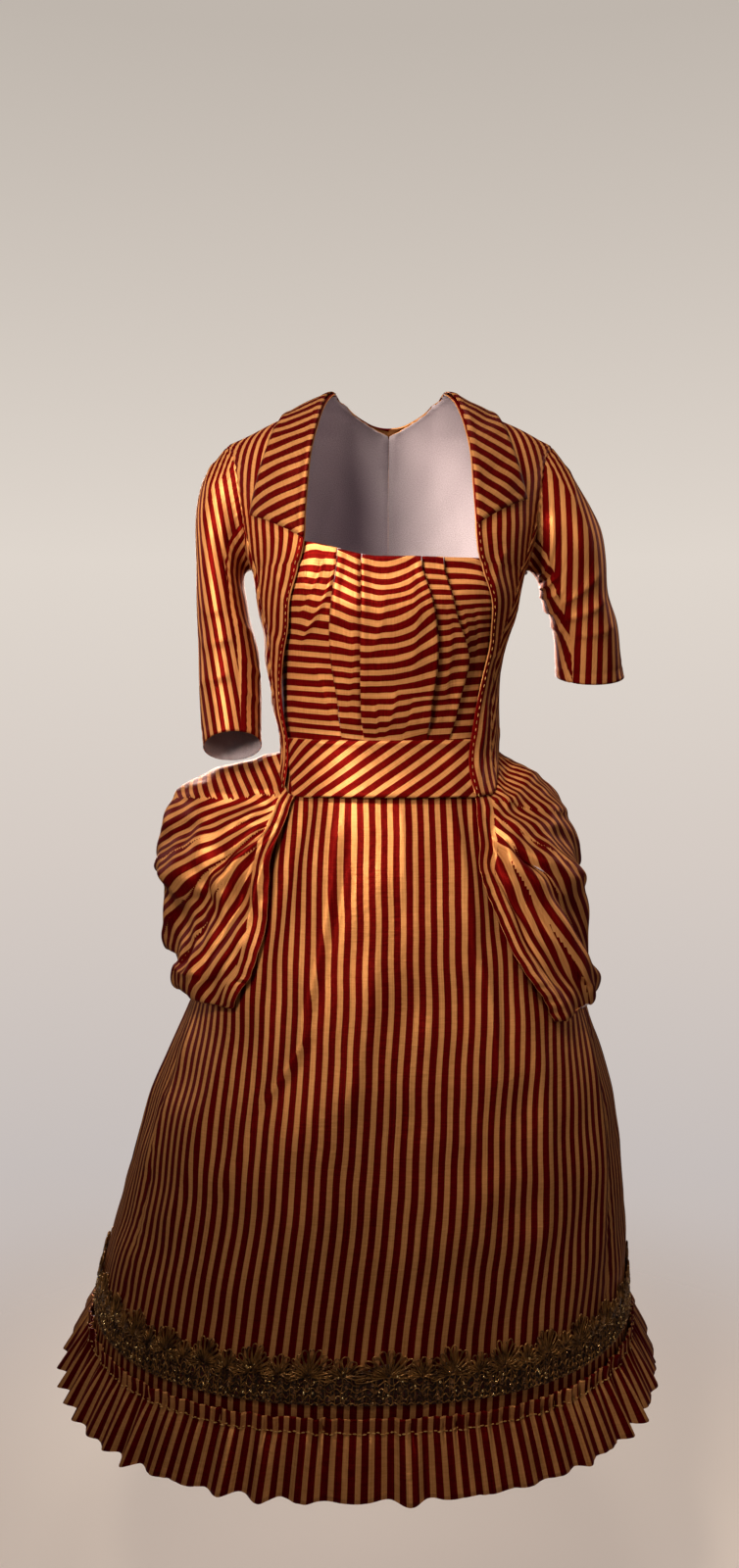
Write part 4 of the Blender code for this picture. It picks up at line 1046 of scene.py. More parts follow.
def makeCollar():
    line = collarLine("right", -1) + collarLine("left", 1)[-2::-1]
    rows = [(i, *p) for i, p in enumerate(line)]
    share = np.linspace(1.0, 0.0, collar["across"] + 1)[:, None]
    step = np.linspace(0.0, len(line) - 1.0, collar["around"] + 1)[None]
    share, step = np.broadcast_arrays(share, step)
    innerX, innerArc, outerX, outerArc = (along(rows, step, k) for k in range(1, 5))
    x = innerX + (outerX - innerX) * share
    arc = innerArc + (outerArc - innerArc) * share
    flat = onYoke(x, arc, np.full_like(x, lifts["collar"]))
    across, width = arcAcross(flat), arcUp(flat)
    toOuter, toInner = width, width[-1:] - width
    toEnd = np.minimum(across, across[:, -1:] - across)
    edge = np.minimum(np.minimum(toOuter, toInner), toEnd)
    roll = 0.0007 * np.exp(-(((edge - 0.005) / 0.003) ** 2)) - 0.0008 * np.exp(-((edge / 0.0012) ** 2))
    rise = roll + softWaves(across, width, 41, 0.05, 0.0005) * smooth(edge / 0.006)
    points = onYoke(x, arc, lifts["collar"] + rise)
    # length over the shoulder for each point, at its own distance from the centre line
    steps = np.linspace(0.0, 1.0, 25)
    level = 1.0 - np.abs(arc)
    path = np.stack([onYoke(x, np.where(arc > 0, 1.0, -1.0) * (1 - level * s), 0 * x) for s in steps])
    rising = np.linalg.norm(np.diff(path, axis=0), axis=-1).sum(0)
    full = np.stack([onYoke(x, -(1 - s) + 0 * x, 0 * x) for s in steps])
    over = np.linalg.norm(np.diff(full, axis=0), axis=-1).sum(0)
    length = np.where(arc > 0, 2 * over - rising, rising)
    right = turned(length, x, -collar["grain"]["right"])
    left = turned(length, x, -collar["grain"]["left"])
    island = np.where(np.arange(collar["around"]) < collar["around"] / 2, 0, 1)
    island = np.broadcast_to(island, (collar["across"], collar["around"]))
    piece = makeCloth("collarCloth", points, [right, left], island=island, thickness=collar["thickness"])
    standFor(piece, "striped_satin", "collar")


makeCollar()
print("collar made")


# Drape: two panniers and the puff over the bustle

drape = {
    "under": 0.0036, "seamAngle": 128.0, "rows": 150, "columns": 160, "puffColumns": 110, "lap": 0.0044,
    "drops": (0.042, 0.133, 0.160, 0.223),
    "folds": {"right": (4.0, 0.0085), "left": (4.5, 0.0070)},  # how many fan out, and how deep
    "frontAngle": {"right": 48.0, "left": 40.0}, "perDegree": 0.0015,  # cloth to a degree at the front edge
    "shelfLean": 62.0,  # degrees of the stripes on the shelf at the right one's top
}
drapeRows = (  # angle, reach over the skirt at four heights, height of the bottom
    (-232.0, 0.072, 0.082, 0.072, 0.058, -0.645),
    (-180.0, 0.080, 0.105, 0.090, 0.085, -0.668),
    (-135.0, 0.080, 0.088, 0.078, 0.062, -0.640),
    (-112.0, 0.095, 0.098, 0.078, 0.056, -0.625),
    (-92.0, 0.106, 0.112, 0.078, 0.050, -0.615),
    (-76.0, 0.070, 0.082, 0.060, 0.048, -0.618),
    (-64.0, 0.034, 0.050, 0.040, 0.036, -0.622),
    (-54.0, 0.018, 0.026, 0.022, 0.022, -0.622),
    (-46.0, 0.013, 0.016, 0.014, 0.014, -0.620),
    (-40.0, 0.012, 0.014, 0.012, 0.012, -0.620),
    (32.0, 0.012, 0.014, 0.012, 0.012, -0.630),
    (40.0, 0.013, 0.018, 0.014, 0.014, -0.632),
    (48.0, 0.016, 0.024, 0.018, 0.016, -0.634),
    (60.0, 0.026, 0.036, 0.028, 0.022, -0.634),
    (76.0, 0.044, 0.052, 0.040, 0.028, -0.634),
    (92.0, 0.056, 0.060, 0.041, 0.024, -0.634),
    (112.0, 0.066, 0.070, 0.055, 0.040, -0.636),
    (135.0, 0.074, 0.086, 0.074, 0.060, -0.645),
    (180.0, 0.080, 0.105, 0.090, 0.085, -0.668),
)
drapeFrontRows = (  # share of the length, front edge on the right and the left in degrees
    (0.00, 48.5, 40.0),
    (0.19, 47.0, 35.0),
    (0.35, 46.0, 31.0),
    (0.50, 43.5, 31.0),
    (0.62, 40.5, 33.5),
    (0.74, 40.0, 37.5),
    (0.86, 42.0, 42.0),
    (1.00, 45.0, 46.0),
)
# From the front edge and down from the waist seam, in millimetres of cloth
pannierCreases = {
    "right": (
        (14, 8, 250, 20, 7, 6.0, 0), (40, 4, 250, 4, 8, -5.0, 0), (14, 10, 230, 118, 8, 4.5, 0),
        (14, 14, 190, 196, 9, 4.5, 0), (12, 22, 130, 262, 9, 5.0, 0), (26, 40, 60, 250, 8, -6.5, 0),
        (9, 34, 66, 300, 8, 6.0, 0), (22, 6, 120, 92, 5, 3.0, 0), (34, 8, 190, 52, 6, -4.0, 0),
        (24, 60, 60, 180, 6, 3.5, 0), (60, 40, 150, 110, 7, -3.5, 0), (90, 170, 120, 300, 9, 4.0, 0),
        (120, 130, 235, 226, 10, 4.5, 0), (206, 150, 280, 232, 8, 5.0, 0), (96, 12, 230, 20, 6, -4.0, 0),
        (206, 206, 262, 262, 6, -4.0, 0), (180, 240, 250, 330, 11, 4.5, 0), (128, 250, 168, 350, 11, -3.5, 0),
        (280, 60, 390, 120, 12, 4.5, 1.5), (300, 150, 400, 230, 12, 4.5, 1.5), (290, 240, 380, 330, 12, 4.0, 1.5),
        (70, 300, 150, 366, 8, 3.5, 1.0), (24, 250, 60, 350, 6, 4.0, 1.5)),
    "left": (
        (12, 8, 210, 74, 7, 4.5, 0), (12, 12, 190, 150, 10, 3.0, 0), (12, 22, 150, 232, 10, 4.0, 0),
        (34, 50, 92, 300, 8, 7.5, 0), (18, 24, 30, 150, 9, -8.0, 0), (28, 140, 52, 300, 9, -8.0, 0),
        (26, 6, 150, 84, 5, 3.0, 0),
        (48, 6, 200, 40, 6, -3.5, 0), (70, 60, 150, 150, 7, 3.5, 0), (150, 60, 260, 130, 9, 4.5, 0),
        (100, 8, 230, 18, 6, -3.6, 0), (200, 140, 268, 200, 7, 5.0, 0), (196, 186, 262, 226, 6, -4.0, 0),
        (190, 230, 262, 270, 7, 5.0, 0), (150, 220, 210, 340, 10, 4.5, 0), (96, 240, 130, 350, 9, -4.0, 0),
        (280, 60, 390, 130, 12, 4.5, 1.5), (300, 160, 400, 240, 12, 4.5, 1.5), (290, 250, 380, 330, 12, 4.0, 1.5),
        (40, 220, 76, 340, 7, 4.0, 1.5), (14, 190, 30, 330, 5, 3.5, 1.0)),
}
puffCreases = (
    (30, 20, 120, 120, 12, 5.0, 2.0), (100, 10, 190, 150, 13, 5.5, 2.0), (60, 150, 170, 230, 12, 5.0, 2.0),
    (420, 20, 330, 130, 12, 5.0, 2.0), (350, 10, 270, 160, 13, 5.5, 2.0), (400, 160, 290, 240, 12, 5.0, 2.0),
    (200, 40, 214, 170, 12, -4.5, 1.0), (252, 40, 246, 180, 12, 4.0, 1.0), (120, 250, 220, 300, 11, 4.5, 1.5),
    (350, 250, 250, 306, 11, 4.5, 1.5), (30, 260, 90, 330, 10, 4.0, 1.0), (430, 260, 370, 330, 10, 4.0, 1.0),
)
pannierFacets = {  # the cloth lies flat between folds that run out from the front of the waist:
    # up to this angle below level, the stripes fall outwards by so many degrees, shift in pitches
    "right": ((2, -62, 0.0), (27, 31, 0.3), (46, 38, 0.0), (62, 53, 0.5), (180, 68, 0.2)),
    "left": ((8, 66, 0.0), (34, 50, 0.4), (52, 60, 0.1), (68, 68, 0.6), (180, 78, 0.2)),
}
pannierStrip = 0.020  # gathered facing along the front edge


def drapePoints(angle, v, edgeDistance, side):
    top, middle, pinch, low, bottom = (along(drapeRows, angle, c) for c in range(1, 6))
    turn = np.where(np.abs(angle) <= 180, angle, 360 - np.abs(angle))
    seam = waistSeam(turn) - form["seam"]
    tuck = 0.012 * smooth((low - 0.016) / 0.020) - 0.004
    topDrop, middleDrop, pinchDrop, lowDrop = drape["drops"]
    waist = form["waistSeam"]
    where = (0.00, 0.02, 0.09, 0.19, 0.34, 0.49, 0.58, 0.74, 0.86, 0.94, 1.00)
    one = np.ones_like(angle)
    heights = (seam + drape["under"], seam - 0.0004, seam - 0.018, seam - topDrop,
               (seam - topDrop + waist - middleDrop) / 2,
               (waist - middleDrop) * one, (waist - pinchDrop) * one, (waist - lowDrop) * one,
               bottom + 0.020, bottom, bottom + tuck)
    reaches = ((lifts["jacket"] - 0.0026) * one, (lifts["jacket"] - 0.0014) * one, 0.55 * top, top,
               (top + middle) / 2 * 1.03, middle, pinch, low,
               0.85 * low + 0.001, 0.50 * low + 0.003, 0.0075 * one)
    z = hermite(where, np.stack(heights), v)
    reach = hermite(where, np.stack(reaches), v)
    count, depth = drape["folds"]["right" if side < 0 else "left"]
    fan = np.arctan2(v, edgeDistance / 70.0 + 0.02) / (math.pi / 2)
    strength = smooth(edgeDistance / 25.0) * smooth((v - 0.12) / 0.28) * (1 - smooth((v - 0.80) / 0.18))
    strength = strength * (1 - smooth((edgeDistance - 60.0) / 16.0))
    reach = reach + depth * strength * np.cos(math.tau * count * fan)
    aroundBack = np.where(np.abs(angle) <= 180, 180.0 - np.abs(angle), np.abs(angle) - 180.0)
    swag = np.cos(math.tau * (2.6 * v - 0.25 * np.cos(np.radians(aroundBack * 1.6))))
    behind = 1 - smooth((aroundBack - 22.0) / 26.0)
    reach = reach + 0.012 * swag * behind * smooth(v / 0.15) * (1 - smooth((v - 0.80) / 0.18))
    return onSkirt(angle, z, reach)


def eased(rise):
    # no fold so sharp that the cloth would turn over on itself
    for _ in range(3):
        rise[1:-1] = (rise[:-2] + 2 * rise[1:-1] + rise[2:]) / 4
        rise[:, 1:-1] = (rise[:, :-2] + 2 * rise[:, 1:-1] + rise[:, 2:]) / 4
    return rise


def lapRise(fall, out, degrees):
    # a fold that starts at the front corner: full above its ray, dropping sharply below it
    a = math.radians(degrees)
    run = out * math.cos(a) + fall * math.sin(a)
    under = fall * math.cos(a) - out * math.sin(a)
    below = smooth(0.5 + under / 0.0100)
    profile = (1 - below) * np.exp(-np.abs(under) / 0.024) - 0.6 * below * np.exp(-np.abs(under) / 0.018)
    return drape["lap"] * profile * smooth((run - 0.012) / 0.05) * (1 - smooth((run - 0.20) / 0.10))


def makePannier(name, side):
    v = np.linspace(1.0, 0.0, drape["rows"] + 1)[:, None]
    edge = along(drapeFrontRows, v, 1 if name == "right" else 2)
    share = np.linspace(0.0, 1.0, drape["columns"] + 1)[None]
    start, stop = side * edge, side * (drape["seamAngle"] - 0.12)
    angle = start + (stop - start) * share**1.15
    v = np.broadcast_to(v, angle.shape)
    points = level = drapePoints(angle, v, np.abs(angle - start), side)
    across = arcAcross(points)
    down = arcUp(points)
    down = down[-1:] - down
    fold, taken = creases(pannierCreases[name], across, down)
    # gathers that start at the waist seam and run out into the folds
    gather = np.sin(across * 420 + 3 * np.sin(across * 55)) * np.exp(-down / 0.028) * smooth(down / 0.010)
    ripple = np.sin(down * 310 + 2.6 * np.sin(down * 47 + side)) + 0.8 * np.sin(down * 530 + 3 * np.sin(down * 83))
    front = np.exp(-((across / 0.016) ** 2)) * ripple * smooth((down - 0.05) / 0.10)
    uneven = softWaves(across, down, 51 + side, 0.07, 0.0016)
    ease = smooth((across[:, -1:] - across) / 0.03) * smooth(down / 0.012)
    # place on the flat cloth: out from the front edge, and down
    out = across.mean(axis=0)[None] - drape["perDegree"] * (drape["frontAngle"][name] - edge)
    fall = level[-1, 0, 2] - drape["under"] - level[..., 2]
    laps = sum(lapRise(fall, out + 0.006, facet[0]) for facet in pannierFacets[name][:4])
    rise = (fold + uneven + laps + 0.0014 * gather + 0.0009 * front) * ease * smooth((1.0 - v) / 0.04)
    rise = eased(np.maximum(rise, -0.0085))
    normals = gridNormals(points) * side
    points = points + normals * rise[..., None]
    middleOut = (out[:-1, :-1] + out[1:, 1:]) / 2
    middleFall = (fall[:-1, :-1] + fall[1:, 1:]) / 2
    ray = np.degrees(np.arctan2(middleFall, middleOut + 0.006))
    maps = [np.stack((across * 1.25 + 0.002, down), -1)]
    topLean = math.radians(drape["shelfLean"])
    island = np.zeros(ray.shape, int)
    below = -999.0
    for k, (limit, lean, shift) in enumerate(pannierFacets[name]):
        a = math.radians(lean)
        u = fall * math.cos(a) - out * math.sin(a) + taken + shift * stripePitch
        if k == 0 and side < 0:
            u = 1.15 * (level[..., 2] * math.cos(topLean) + level[..., 0] * math.sin(topLean))
        maps.append(np.stack((u, out), -1))
        island = np.where((ray >= below) & (ray < limit) & (across[:-1, :-1] > pannierStrip), k + 1, island)
        below = limit
    if side < 0:
        points, maps, island = points[:, ::-1], [m[:, ::-1] for m in maps], island[:, ::-1]
    label = "pannier" + name.capitalize()
    piece = makeCloth(label, points, maps, island=island, inside=cottonLining, thickness=0.0006)
    standFor(piece, "striped_satin", "pannier_" + name)


def makePuff():
    v = np.linspace(1.0, 0.0, drape["rows"] + 1)[:, None]
    first, last = drape["seamAngle"] + 0.12, 360 - drape["seamAngle"] - 0.12
    angle = first + (last - first) * np.linspace(0.0, 1.0, drape["puffColumns"] + 1)[None]
    v, angle = np.broadcast_arrays(v, angle)
    signed = np.where(angle <= 180, angle, angle - 360)
    points = drapePoints(signed, v, np.full_like(angle, 999.0), 1)
    across = arcAcross(points)
    down = arcUp(points)
    down = down[-1:] - down
    fold, taken = creases(puffCreases, across, down)
    gather = np.sin(across * 400 + 3 * np.sin(across * 50)) * np.exp(-down / 0.030)
    ease = smooth(np.minimum(across, across[:, -1:] - across) / 0.03) * smooth(down / 0.012)
    uneven = softWaves(across, down, 61, 0.08, 0.0018)
    rise = (fold + uneven + 0.0018 * gather) * ease * smooth((1.0 - v) / 0.04)
    points = points + gridNormals(points) * rise[..., None]
    middle = across[:, -1:] / 2
    polar = np.arctan2(down + 0.28, across - middle)
    u = 0.60 * polar + taken
    piece = makeCloth("bustlePuff", points, [np.stack((u, down), -1)], inside=cottonLining)
    standFor(piece, "striped_satin", "bustle_puff")


makePannier("right", -1)
makePannier("left", 1)
makePuff()
print("drape made")


# Geometry Nodes for what repeats

def socketOf(tree, name):
    return next(s.identifier for s in tree.interface.items_tree if s.name == name and s.in_out == "INPUT")


def newTree(name, sizes):
    tree = bpy.data.node_groups.new(name, "GeometryNodeTree")
    tree.interface.new_socket("Geometry", in_out="INPUT", socket_type="NodeSocketGeometry")
    tree.interface.new_socket("Geometry", in_out="OUTPUT", socket_type="NodeSocketGeometry")
    for size, kind in sizes.items():
        tree.interface.new_socket(size, in_out="INPUT", socket_type="NodeSocket" + kind)
    entry = tree.nodes.new("NodeGroupInput")
    return tree, entry


def endTree(tree, geometry, material):
    real = addNode(tree, "GeometryNodeRealizeInstances", {0: geometry})
    painted = addNode(tree, "GeometryNodeSetMaterial", {0: real.outputs[0], 2: material})
    out = tree.nodes.new("NodeGroupOutput")
    tree.links.new(painted.outputs[0], out.inputs[0])


def threadTree():
    # a round thread along every edge of the guide
    tree, entry = newTree("thread along a path", {"Radius": "Float", "Sides": "Int", "Material": "Material"})
    curve = addNode(tree, "GeometryNodeMeshToCurve", {0: entry.outputs["Geometry"]})
    sides = {"Resolution": entry.outputs["Sides"], "Radius": entry.outputs["Radius"]}
    circle = addNode(tree, "GeometryNodeCurvePrimitiveCircle", sides)
    tube = addNode(tree, "GeometryNodeCurveToMesh", {0: curve.outputs[0], 1: circle.outputs[0]})
    endTree(tree, tube.outputs[0], entry.outputs["Material"])
    return tree


def stitchTree():
    # short raised stitches, evenly spaced along the guide
    sizes = {"Spacing": "Float", "Length": "Float", "Radius": "Float", "Material": "Material"}
    tree, entry = newTree("running stitches", sizes)
    curve = addNode(tree, "GeometryNodeMeshToCurve", {0: entry.outputs["Geometry"]})
    even = addNode(tree, "GeometryNodeResampleCurve",
                   {"Curve": curve.outputs[0], "Length": entry.outputs["Spacing"]}, mode="LENGTH")
    tangent = addNode(tree, "GeometryNodeInputTangent")
    facing = addNode(tree, "FunctionNodeAlignRotationToVector", {"Vector": tangent.outputs[0]}, axis="Z")
    shape = addNode(tree, "GeometryNodeMeshUVSphere", {"Segments": 6, "Rings": 4, "Radius": 1.0})
    size = addNode(tree, "ShaderNodeCombineXYZ", {0: entry.outputs["Radius"], 1: entry.outputs["Radius"],
                                                  2: entry.outputs["Length"]})
    inputs = {"Points": even.outputs[0], "Instance": shape.outputs[0],
              "Rotation": facing.outputs[0], "Scale": size.outputs[0]}
    placed = addNode(tree, "GeometryNodeInstanceOnPoints", inputs)
    endTree(tree, placed.outputs[0], entry.outputs["Material"])
    return tree


def spangleTree():
    # small bright beads scattered over a surface, with a fixed seed
    sizes = {"Density": "Float", "Radius": "Float", "Seed": "Int", "Material": "Material"}
    tree, entry = newTree("scattered spangles", sizes)
    inputs = {"Mesh": entry.outputs["Geometry"], "Density": entry.outputs["Density"], "Seed": entry.outputs["Seed"]}
    points = addNode(tree, "GeometryNodeDistributePointsOnFaces", inputs)
    ball = addNode(tree, "GeometryNodeMeshIcoSphere", {"Radius": entry.outputs["Radius"], "Subdivisions": 1})
    size = addNode(tree, "FunctionNodeRandomValue", {2: 0.5, 3: 1.3, "Seed": entry.outputs["Seed"]},
                   data_type="FLOAT")
    inputs = {"Points": points.outputs["Points"], "Instance": ball.outputs[0], "Scale": size.outputs[1]}
    placed = addNode(tree, "GeometryNodeInstanceOnPoints", inputs)
    endTree(tree, placed.outputs[0], entry.outputs["Material"])
    return tree


def guide(name, points, edges, faces=()):
    mesh = bpy.data.meshes.new(name)
    mesh.from_pydata(np.asarray(points).reshape(-1, 3).tolist(), np.asarray(edges).tolist(), list(faces))
    piece = bpy.data.objects.new(name, mesh)
    bpy.context.scene.collection.objects.link(piece)
    return piece


def grown(piece, tree, slot, settings):
    # runs the tree on its guide and keeps the result as a plain mesh
    repeat = piece.modifiers.new("repeat", "NODES")
    repeat.node_group = tree
    for name, value in settings.items():
        repeat[socketOf(tree, name)] = value
    bpy.context.view_layer.update()
    evaluated = piece.evaluated_get(bpy.context.evaluated_depsgraph_get())
    mesh = bpy.data.meshes.new_from_object(evaluated)
    piece.modifiers.clear()
    piece.data = mesh
    mesh.shade_smooth()
    return standFor(piece, slot)


threads, stitches, spangles = threadTree(), stitchTree(), spangleTree()


def pathEdges(lengths, closed=False):
    edges, start = [], 0
    for n in lengths:
        edges += [(start + i, start + i + 1) for i in range(n - 1)]
        if closed:
            edges.append((start + n - 1, start))
        start += n
    return edges


# Lace

lace = {
    "bottom": -0.974, "height": 0.029, "repeats": 36, "lift": 0.0036, "rise": 0.010,
    "fanLoops": (13, 9), "fanRadius": (0.0250, 0.0165), "fanBase": (0.0265, 0.0270),
    "thread": 0.00085, "cordRadius": 0.0007, "spangleRadius": 0.0012, "spangleDensity": 7200.0,
    "bars": 324, "barPoints": 7, "barRadius": 0.0005,
    "girth": 2.0,  # metres round the band, near enough to turn a length into a turn
}
laceCordRows = (  # height, swing, waves round the band
    (0.0020, 0.0011, 300),
    (0.0075, 0.0022, 252),
    (0.0140, 0.0022, 216),
    (0.0205, 0.0026, 180),
    (0.0270, 0.0022, 216),
)


def makeLace():
    # net ground with a scalloped edge
    count = lace["repeats"] * 16
    turn = np.linspace(0, 1, count + 1)[None]
    share = np.linspace(0, 1, 13)[:, None]
    across = np.mod(turn * lace["repeats"], 1.0)
    large = np.clip(1 - ((across - 0.30) / 0.27) ** 2, 0, 1) ** 0.5
    small = 0.68 * np.clip(1 - ((across - 0.80) / 0.17) ** 2, 0, 1) ** 0.5
    top = lace["height"] + lace["rise"] * 0.86 * np.maximum(large, small)
    z = lace["bottom"] + top * share
    turn, z = np.broadcast_arrays(turn, z)
    lift = lace["lift"] + 0.0004 * np.sin(turn * math.tau * 144) + 0.0003 * np.sin(z * 900)
    points = onSkirt(360 * turn, z, lift)
    u = arcAcross(points)[0][None] + 0 * z
    net = makeCloth("laceNet", points, [np.stack((u, z), -1)], closed=True, thickness=0.0006)
    net.data.materials.clear()
    net.data.materials.append(laceNetting)
    net.data.materials.append(laceNetting)
    standFor(net, "metal_lace", "lace_band")

    # looped fans, drawn as closed petals of thread round a base point
    lines, lengths = [], []
    chance = np.random.default_rng(5)
    for k in range(lace["repeats"]):
        for kind, centre in ((0, 0.30), (1, 0.80)):
            loops, radius = lace["fanLoops"][kind], lace["fanRadius"][kind]
            middle = (k + centre) / lace["repeats"]
            base = lace["bottom"] + lace["fanBase"][kind]
            for j in range(loops):
                heading = math.radians(-100 + 200 * j / (loops - 1))
                reach = radius * (0.92 + 0.16 * chance.random()) * (1.0 - 0.22 * abs(math.sin(heading)) ** 2)
                t = np.linspace(0, 1, 13)[:-1]
                out = reach * (0.12 + 0.88 * np.sin(np.pi * t) ** 0.8)
                swing = math.radians(200 / (loops - 1)) * 0.42 * np.sin(math.tau * t)
                dx = out * np.sin(heading + swing)
                dz = out * np.cos(heading + swing)
                z = base + dz
                lift = lace["lift"] + 0.0012 + 0.0009 * np.sin(np.pi * t + j)
                lines.append(onSkirt(360 * (middle + dx / lace["girth"]), z, lift))
                lengths.append(len(t))
    fans = guide("laceFans", np.concatenate(lines), pathEdges(lengths, closed=True))
    fans = grown(fans, threads, "metal_lace", {"Radius": lace["thread"], "Sides": 3, "Material": giltThread})

    # cords and zigzags that run round the band
    lines, lengths = [], []
    for height, swing, waves in laceCordRows:
        t = np.linspace(0, 1, waves * 5 + 1)[:-1]
        z = lace["bottom"] + height + swing * np.sin(t * math.tau * waves)
        lift = lace["lift"] + 0.0010 + 0.0005 * np.sin(t * math.tau * waves * 1.5)
        lines.append(onSkirt(360 * t, z, lift))
        lengths.append(len(t))
    cords = guide("laceCords", np.concatenate(lines), pathEdges(lengths, closed=True))
    cords = grown(cords, threads, "metal_lace", {"Radius": lace["cordRadius"], "Sides": 3, "Material": giltThread})

    # upright bars that join the cords
    lines, lengths = [], []
    count = lace["barPoints"]
    for k in range(lace["bars"]):
        t = (k + 0.3 * chance.random()) / lace["bars"]
        z = lace["bottom"] + np.linspace(0.001, 0.033 + 0.006 * chance.random(), count)
        sway = 0.0007 * np.sin(np.arange(count) * 1.9 + k)
        lines.append(onSkirt(360 * (t + sway / lace["girth"]), z, np.full(count, lace["lift"] + 0.0008)))
        lengths.append(count)
    uprights = guide("laceBars", np.concatenate(lines), pathEdges(lengths))
    settings = {"Radius": lace["barRadius"], "Sides": 4, "Material": giltThread}
    uprights = grown(uprights, threads, "metal_lace", settings)

    # beads scattered over a coarser copy of the net
    turn = turn[:, ::4]
    z = (lace["bottom"] + 0.001 + top * 0.93 * share)[:, ::4]
    band = onSkirt(360 * turn, z, np.full_like(turn, lace["lift"] + 0.0016))
    number = np.arange(turn.size).reshape(turn.shape)
    faces = np.stack((number[:-1, :-1], number[:-1, 1:], number[1:, 1:], number[1:, :-1]), -1).reshape(-1, 4)
    beads = guide("laceSpangles", band, [], faces.tolist())
    settings = {"Density": lace["spangleDensity"], "Radius": lace["spangleRadius"], "Seed": 4, "Material": giltSpangle}
    beads = grown(beads, spangles, "metal_lace", settings)


makeLace()
print("lace made")


# Stitching

sewing = {
    "edgeInset": 0.0035, "edgeRows": 100, "edgeProud": 0.0004, "gatherProud": 0.0005,
    "edge": {"Spacing": 0.0080, "Length": 0.0021, "Radius": 0.00035},
    "gather": {"Spacing": 0.0052, "Length": 0.0022, "Radius": 0.00080},
}


def stitchLine(name, line, kind, closed=False):
    # the line stands a little proud of the cloth, straight out from the body's axis
    line = line + unit(line * (1.0, 1.0, 0.0)) * sewing[kind + "Proud"]
    piece = guide(name, line, pathEdges([len(line)], closed))
    grown(piece, stitches, "striped_satin", {**sewing[kind], "Material": silkStitch})


def makeStitching():
    # along the jacket's front edges
    for name, side in (("right", -1), ("left", 1)):
        grid = jacketEdges[name]
        if side < 0:
            grid = grid[:, ::-1]
        across = arcAcross(grid)
        column = np.argmin(np.abs(across - sewing["edgeInset"]), axis=1)
        line = grid[np.arange(len(grid)), column][:sewing["edgeRows"]]
        stitchLine("edgeStitches" + name.capitalize(), line, "edge")
    # the running thread that gathers the ruffle
    row = int(np.argmin(np.abs(rufflePoints[:, 0, 2] - ruffle["gatherLine"])))
    stitchLine("gatherStitches", rufflePoints[row, :-1], "gather", closed=True)


makeStitching()
print("stitching made")


# Camera, light and floor

view = {"place": (-0.0224, -1.506, -0.27), "pitch": 85.0, "sensor": 36.0, "focalPixels": 1347, "framePixels": 1600}

camera = bpy.data.objects.new("camera", bpy.data.cameras.new("camera"))
bpy.context.scene.collection.objects.link(camera)
camera.location = view["place"]
camera.rotation_euler = (math.radians(view["pitch"]), 0.0, 0.0)
camera.data.lens = view["focalPixels"] / view["framePixels"] * view["sensor"]
camera.data.sensor_width = view["sensor"]
camera.data.clip_start = 0.05
bpy.context.scene.camera = camera
bpy.context.scene.view_settings.view_transform = "Standard"

studio = {
    "floorZ": -1.34, "floorRadius": 4.0, "floorSides": 96, "floorFade": (0.35, 1.25), "floorGlow": 0.52,
    "ambient": 0.075,
    # sine of the height above level, and the paper's tone there
    "backdrop": ((-0.58, "#c0afa5"), (-0.35, "#c6bebb"), (-0.14, "#d5cbc4"), (0.08, "#dfd6cd"), (0.43, "#bfb6ad")),
}
lamps = (  # name, place, aims at, size, watts, spread in degrees, colour
    ("keySoftbox", (-0.50, -1.08, 0.98), (0.0, -0.12, -0.24), 0.42, 2.2, 46, "#fff0dc"),
    ("faceSoftbox", (-1.00, -1.50, 0.16), (0.0, 0.0, -0.08), 0.5, 2.3, 38, "#ffedd8"),
    ("fillSoftbox", (1.5, -1.6, 0.4), (0.0, 0.0, -0.20), 0.8, 0.75, 46, "#ffe9d2"),
    ("topSoftbox", (0.2, 0.1, 1.5), (0.0, 0.0, -0.3), 0.9, 1.6, 80, "#fff4e6"),
    ("backSoftbox", (-0.3, 2.4, -0.1), (0.0, 0.0, -0.5), 1.4, 12.0, 62, "#fff4e8"),
    ("rightSideSoftbox", (-2.2, 1.3, 0.3), (0.0, 0.1, -0.5), 1.2, 0.9, 50, "#fff4e8"),
    ("leftSideSoftbox", (2.2, 1.3, 0.3), (0.0, 0.1, -0.5), 1.2, 0.9, 50, "#fff4e8"),
)


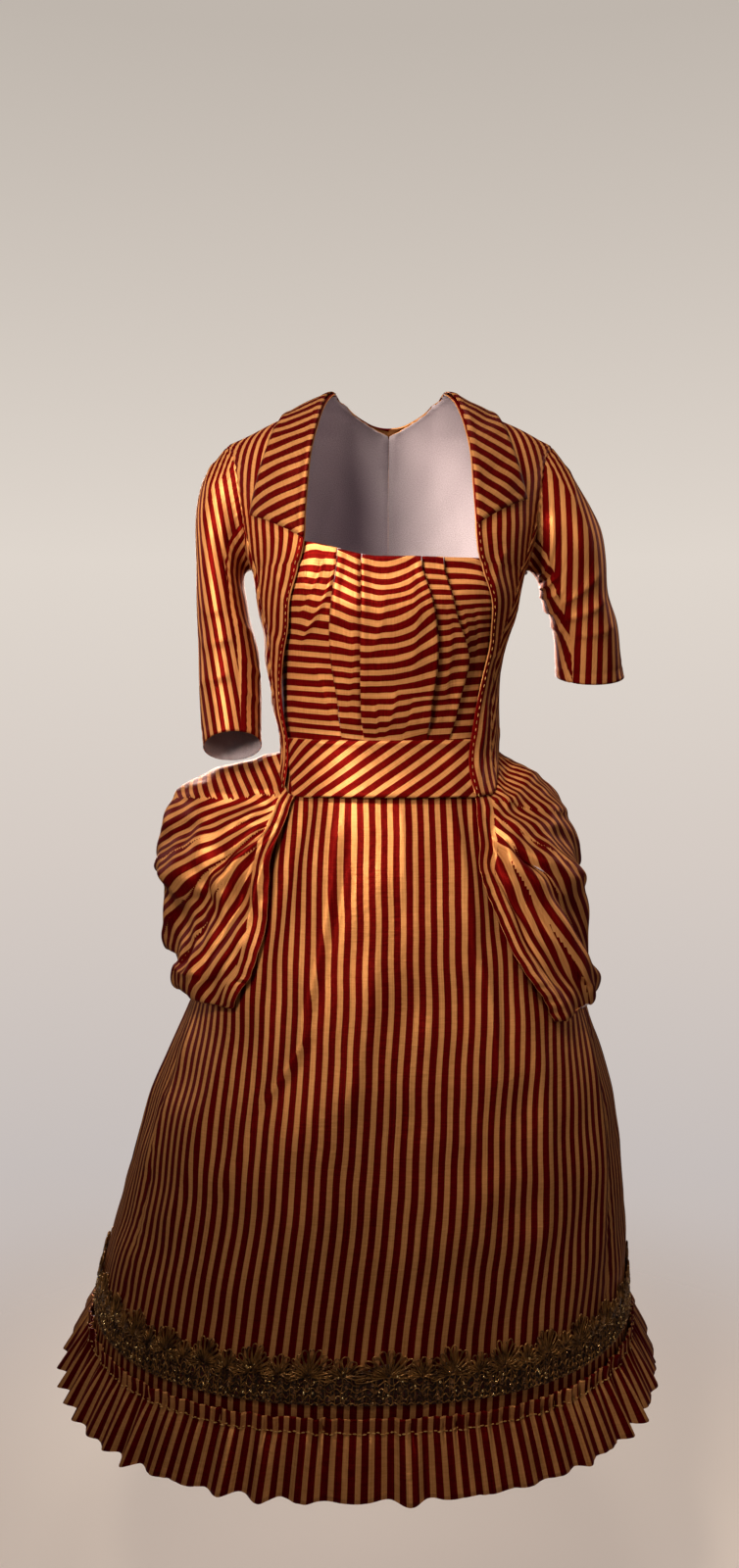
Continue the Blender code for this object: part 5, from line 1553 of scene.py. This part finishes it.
def makeStage():
    world = bpy.data.worlds.new("studio")
    bpy.context.scene.world = world
    world.use_nodes = True
    tree = world.node_tree
    back = tree.nodes["Background"]
    back.inputs["Color"].default_value = linear(studio["backdrop"][2][1])
    back.inputs["Strength"].default_value = studio["ambient"]
    heading = addNode(tree, "ShaderNodeTexCoord").outputs["Generated"]
    height = addNode(tree, "ShaderNodeSeparateXYZ", {0: heading}).outputs["Z"]
    lowest = studio["backdrop"][0][0]
    ramp = addNode(tree, "ShaderNodeValToRGB", {0: math2(tree, "ADD", height, -lowest)})
    stops = ramp.color_ramp.elements
    for k, (level, tone) in enumerate(studio["backdrop"]):
        stop = stops[k] if k < 2 else stops.new(1.0)
        stop.position, stop.color = level - lowest, linear(tone)
    seen = addNode(tree, "ShaderNodeBackground", {"Color": ramp.outputs[0], "Strength": 1.0})
    path = addNode(tree, "ShaderNodeLightPath")
    inputs = {0: path.outputs["Is Camera Ray"], 1: back.outputs[0], 2: seen.outputs[0]}
    both = addNode(tree, "ShaderNodeMixShader", inputs)
    tree.links.new(both.outputs[0], tree.nodes["World Output"].inputs["Surface"])

    mesh = bpy.data.meshes.new("studioFloor")
    turn = np.linspace(0, math.tau, studio["floorSides"] + 1)[:-1]
    wide = studio["floorRadius"]
    ring = [(wide * math.cos(t), wide * math.sin(t), studio["floorZ"]) for t in turn]
    mesh.from_pydata(ring, [], [list(range(len(ring)))])
    floor = bpy.data.objects.new("studioFloor", mesh)
    bpy.context.scene.collection.objects.link(floor)
    material, tree, shader = newMaterial("matt painted studio floor", 0.7)
    shader.inputs["Base Color"].default_value = linear("#cfc6be")
    shader.inputs["Emission Color"].default_value = linear(studio["backdrop"][0][1])
    shader.inputs["Emission Strength"].default_value = studio["floorGlow"]
    # the floor fades into the backdrop, so no horizon shows
    place = addNode(tree, "ShaderNodeTexCoord").outputs["Object"]
    flatPlace = addNode(tree, "ShaderNodeVectorMath", {0: place, 1: (1, 1, 0)}, operation="MULTIPLY")
    far = addNode(tree, "ShaderNodeVectorMath", {0: flatPlace.outputs[0]}, operation="LENGTH").outputs["Value"]
    fade = mapRange(tree, far, studio["floorFade"][0], studio["floorFade"][1], 1.0, 0.0)
    tree.links.new(fade, shader.inputs["Alpha"])
    mesh.materials.append(material)
    for name, place, aim, size, watts, spread, colour in lamps:
        light = bpy.data.lights.new(name, "AREA")
        light.energy, light.size, light.color = watts, size, linear(colour)[:3]
        light.spread = math.radians(spread)
        lamp = bpy.data.objects.new(name, light)
        bpy.context.scene.collection.objects.link(lamp)
        lamp.location = place
        away = np.array(place) - np.array(aim)
        across = math.hypot(away[0], away[1])
        lamp.rotation_euler = (math.atan2(across, away[2]), 0.0, math.atan2(away[0], -away[1]))


makeStage()
print("camera, lights and floor made")
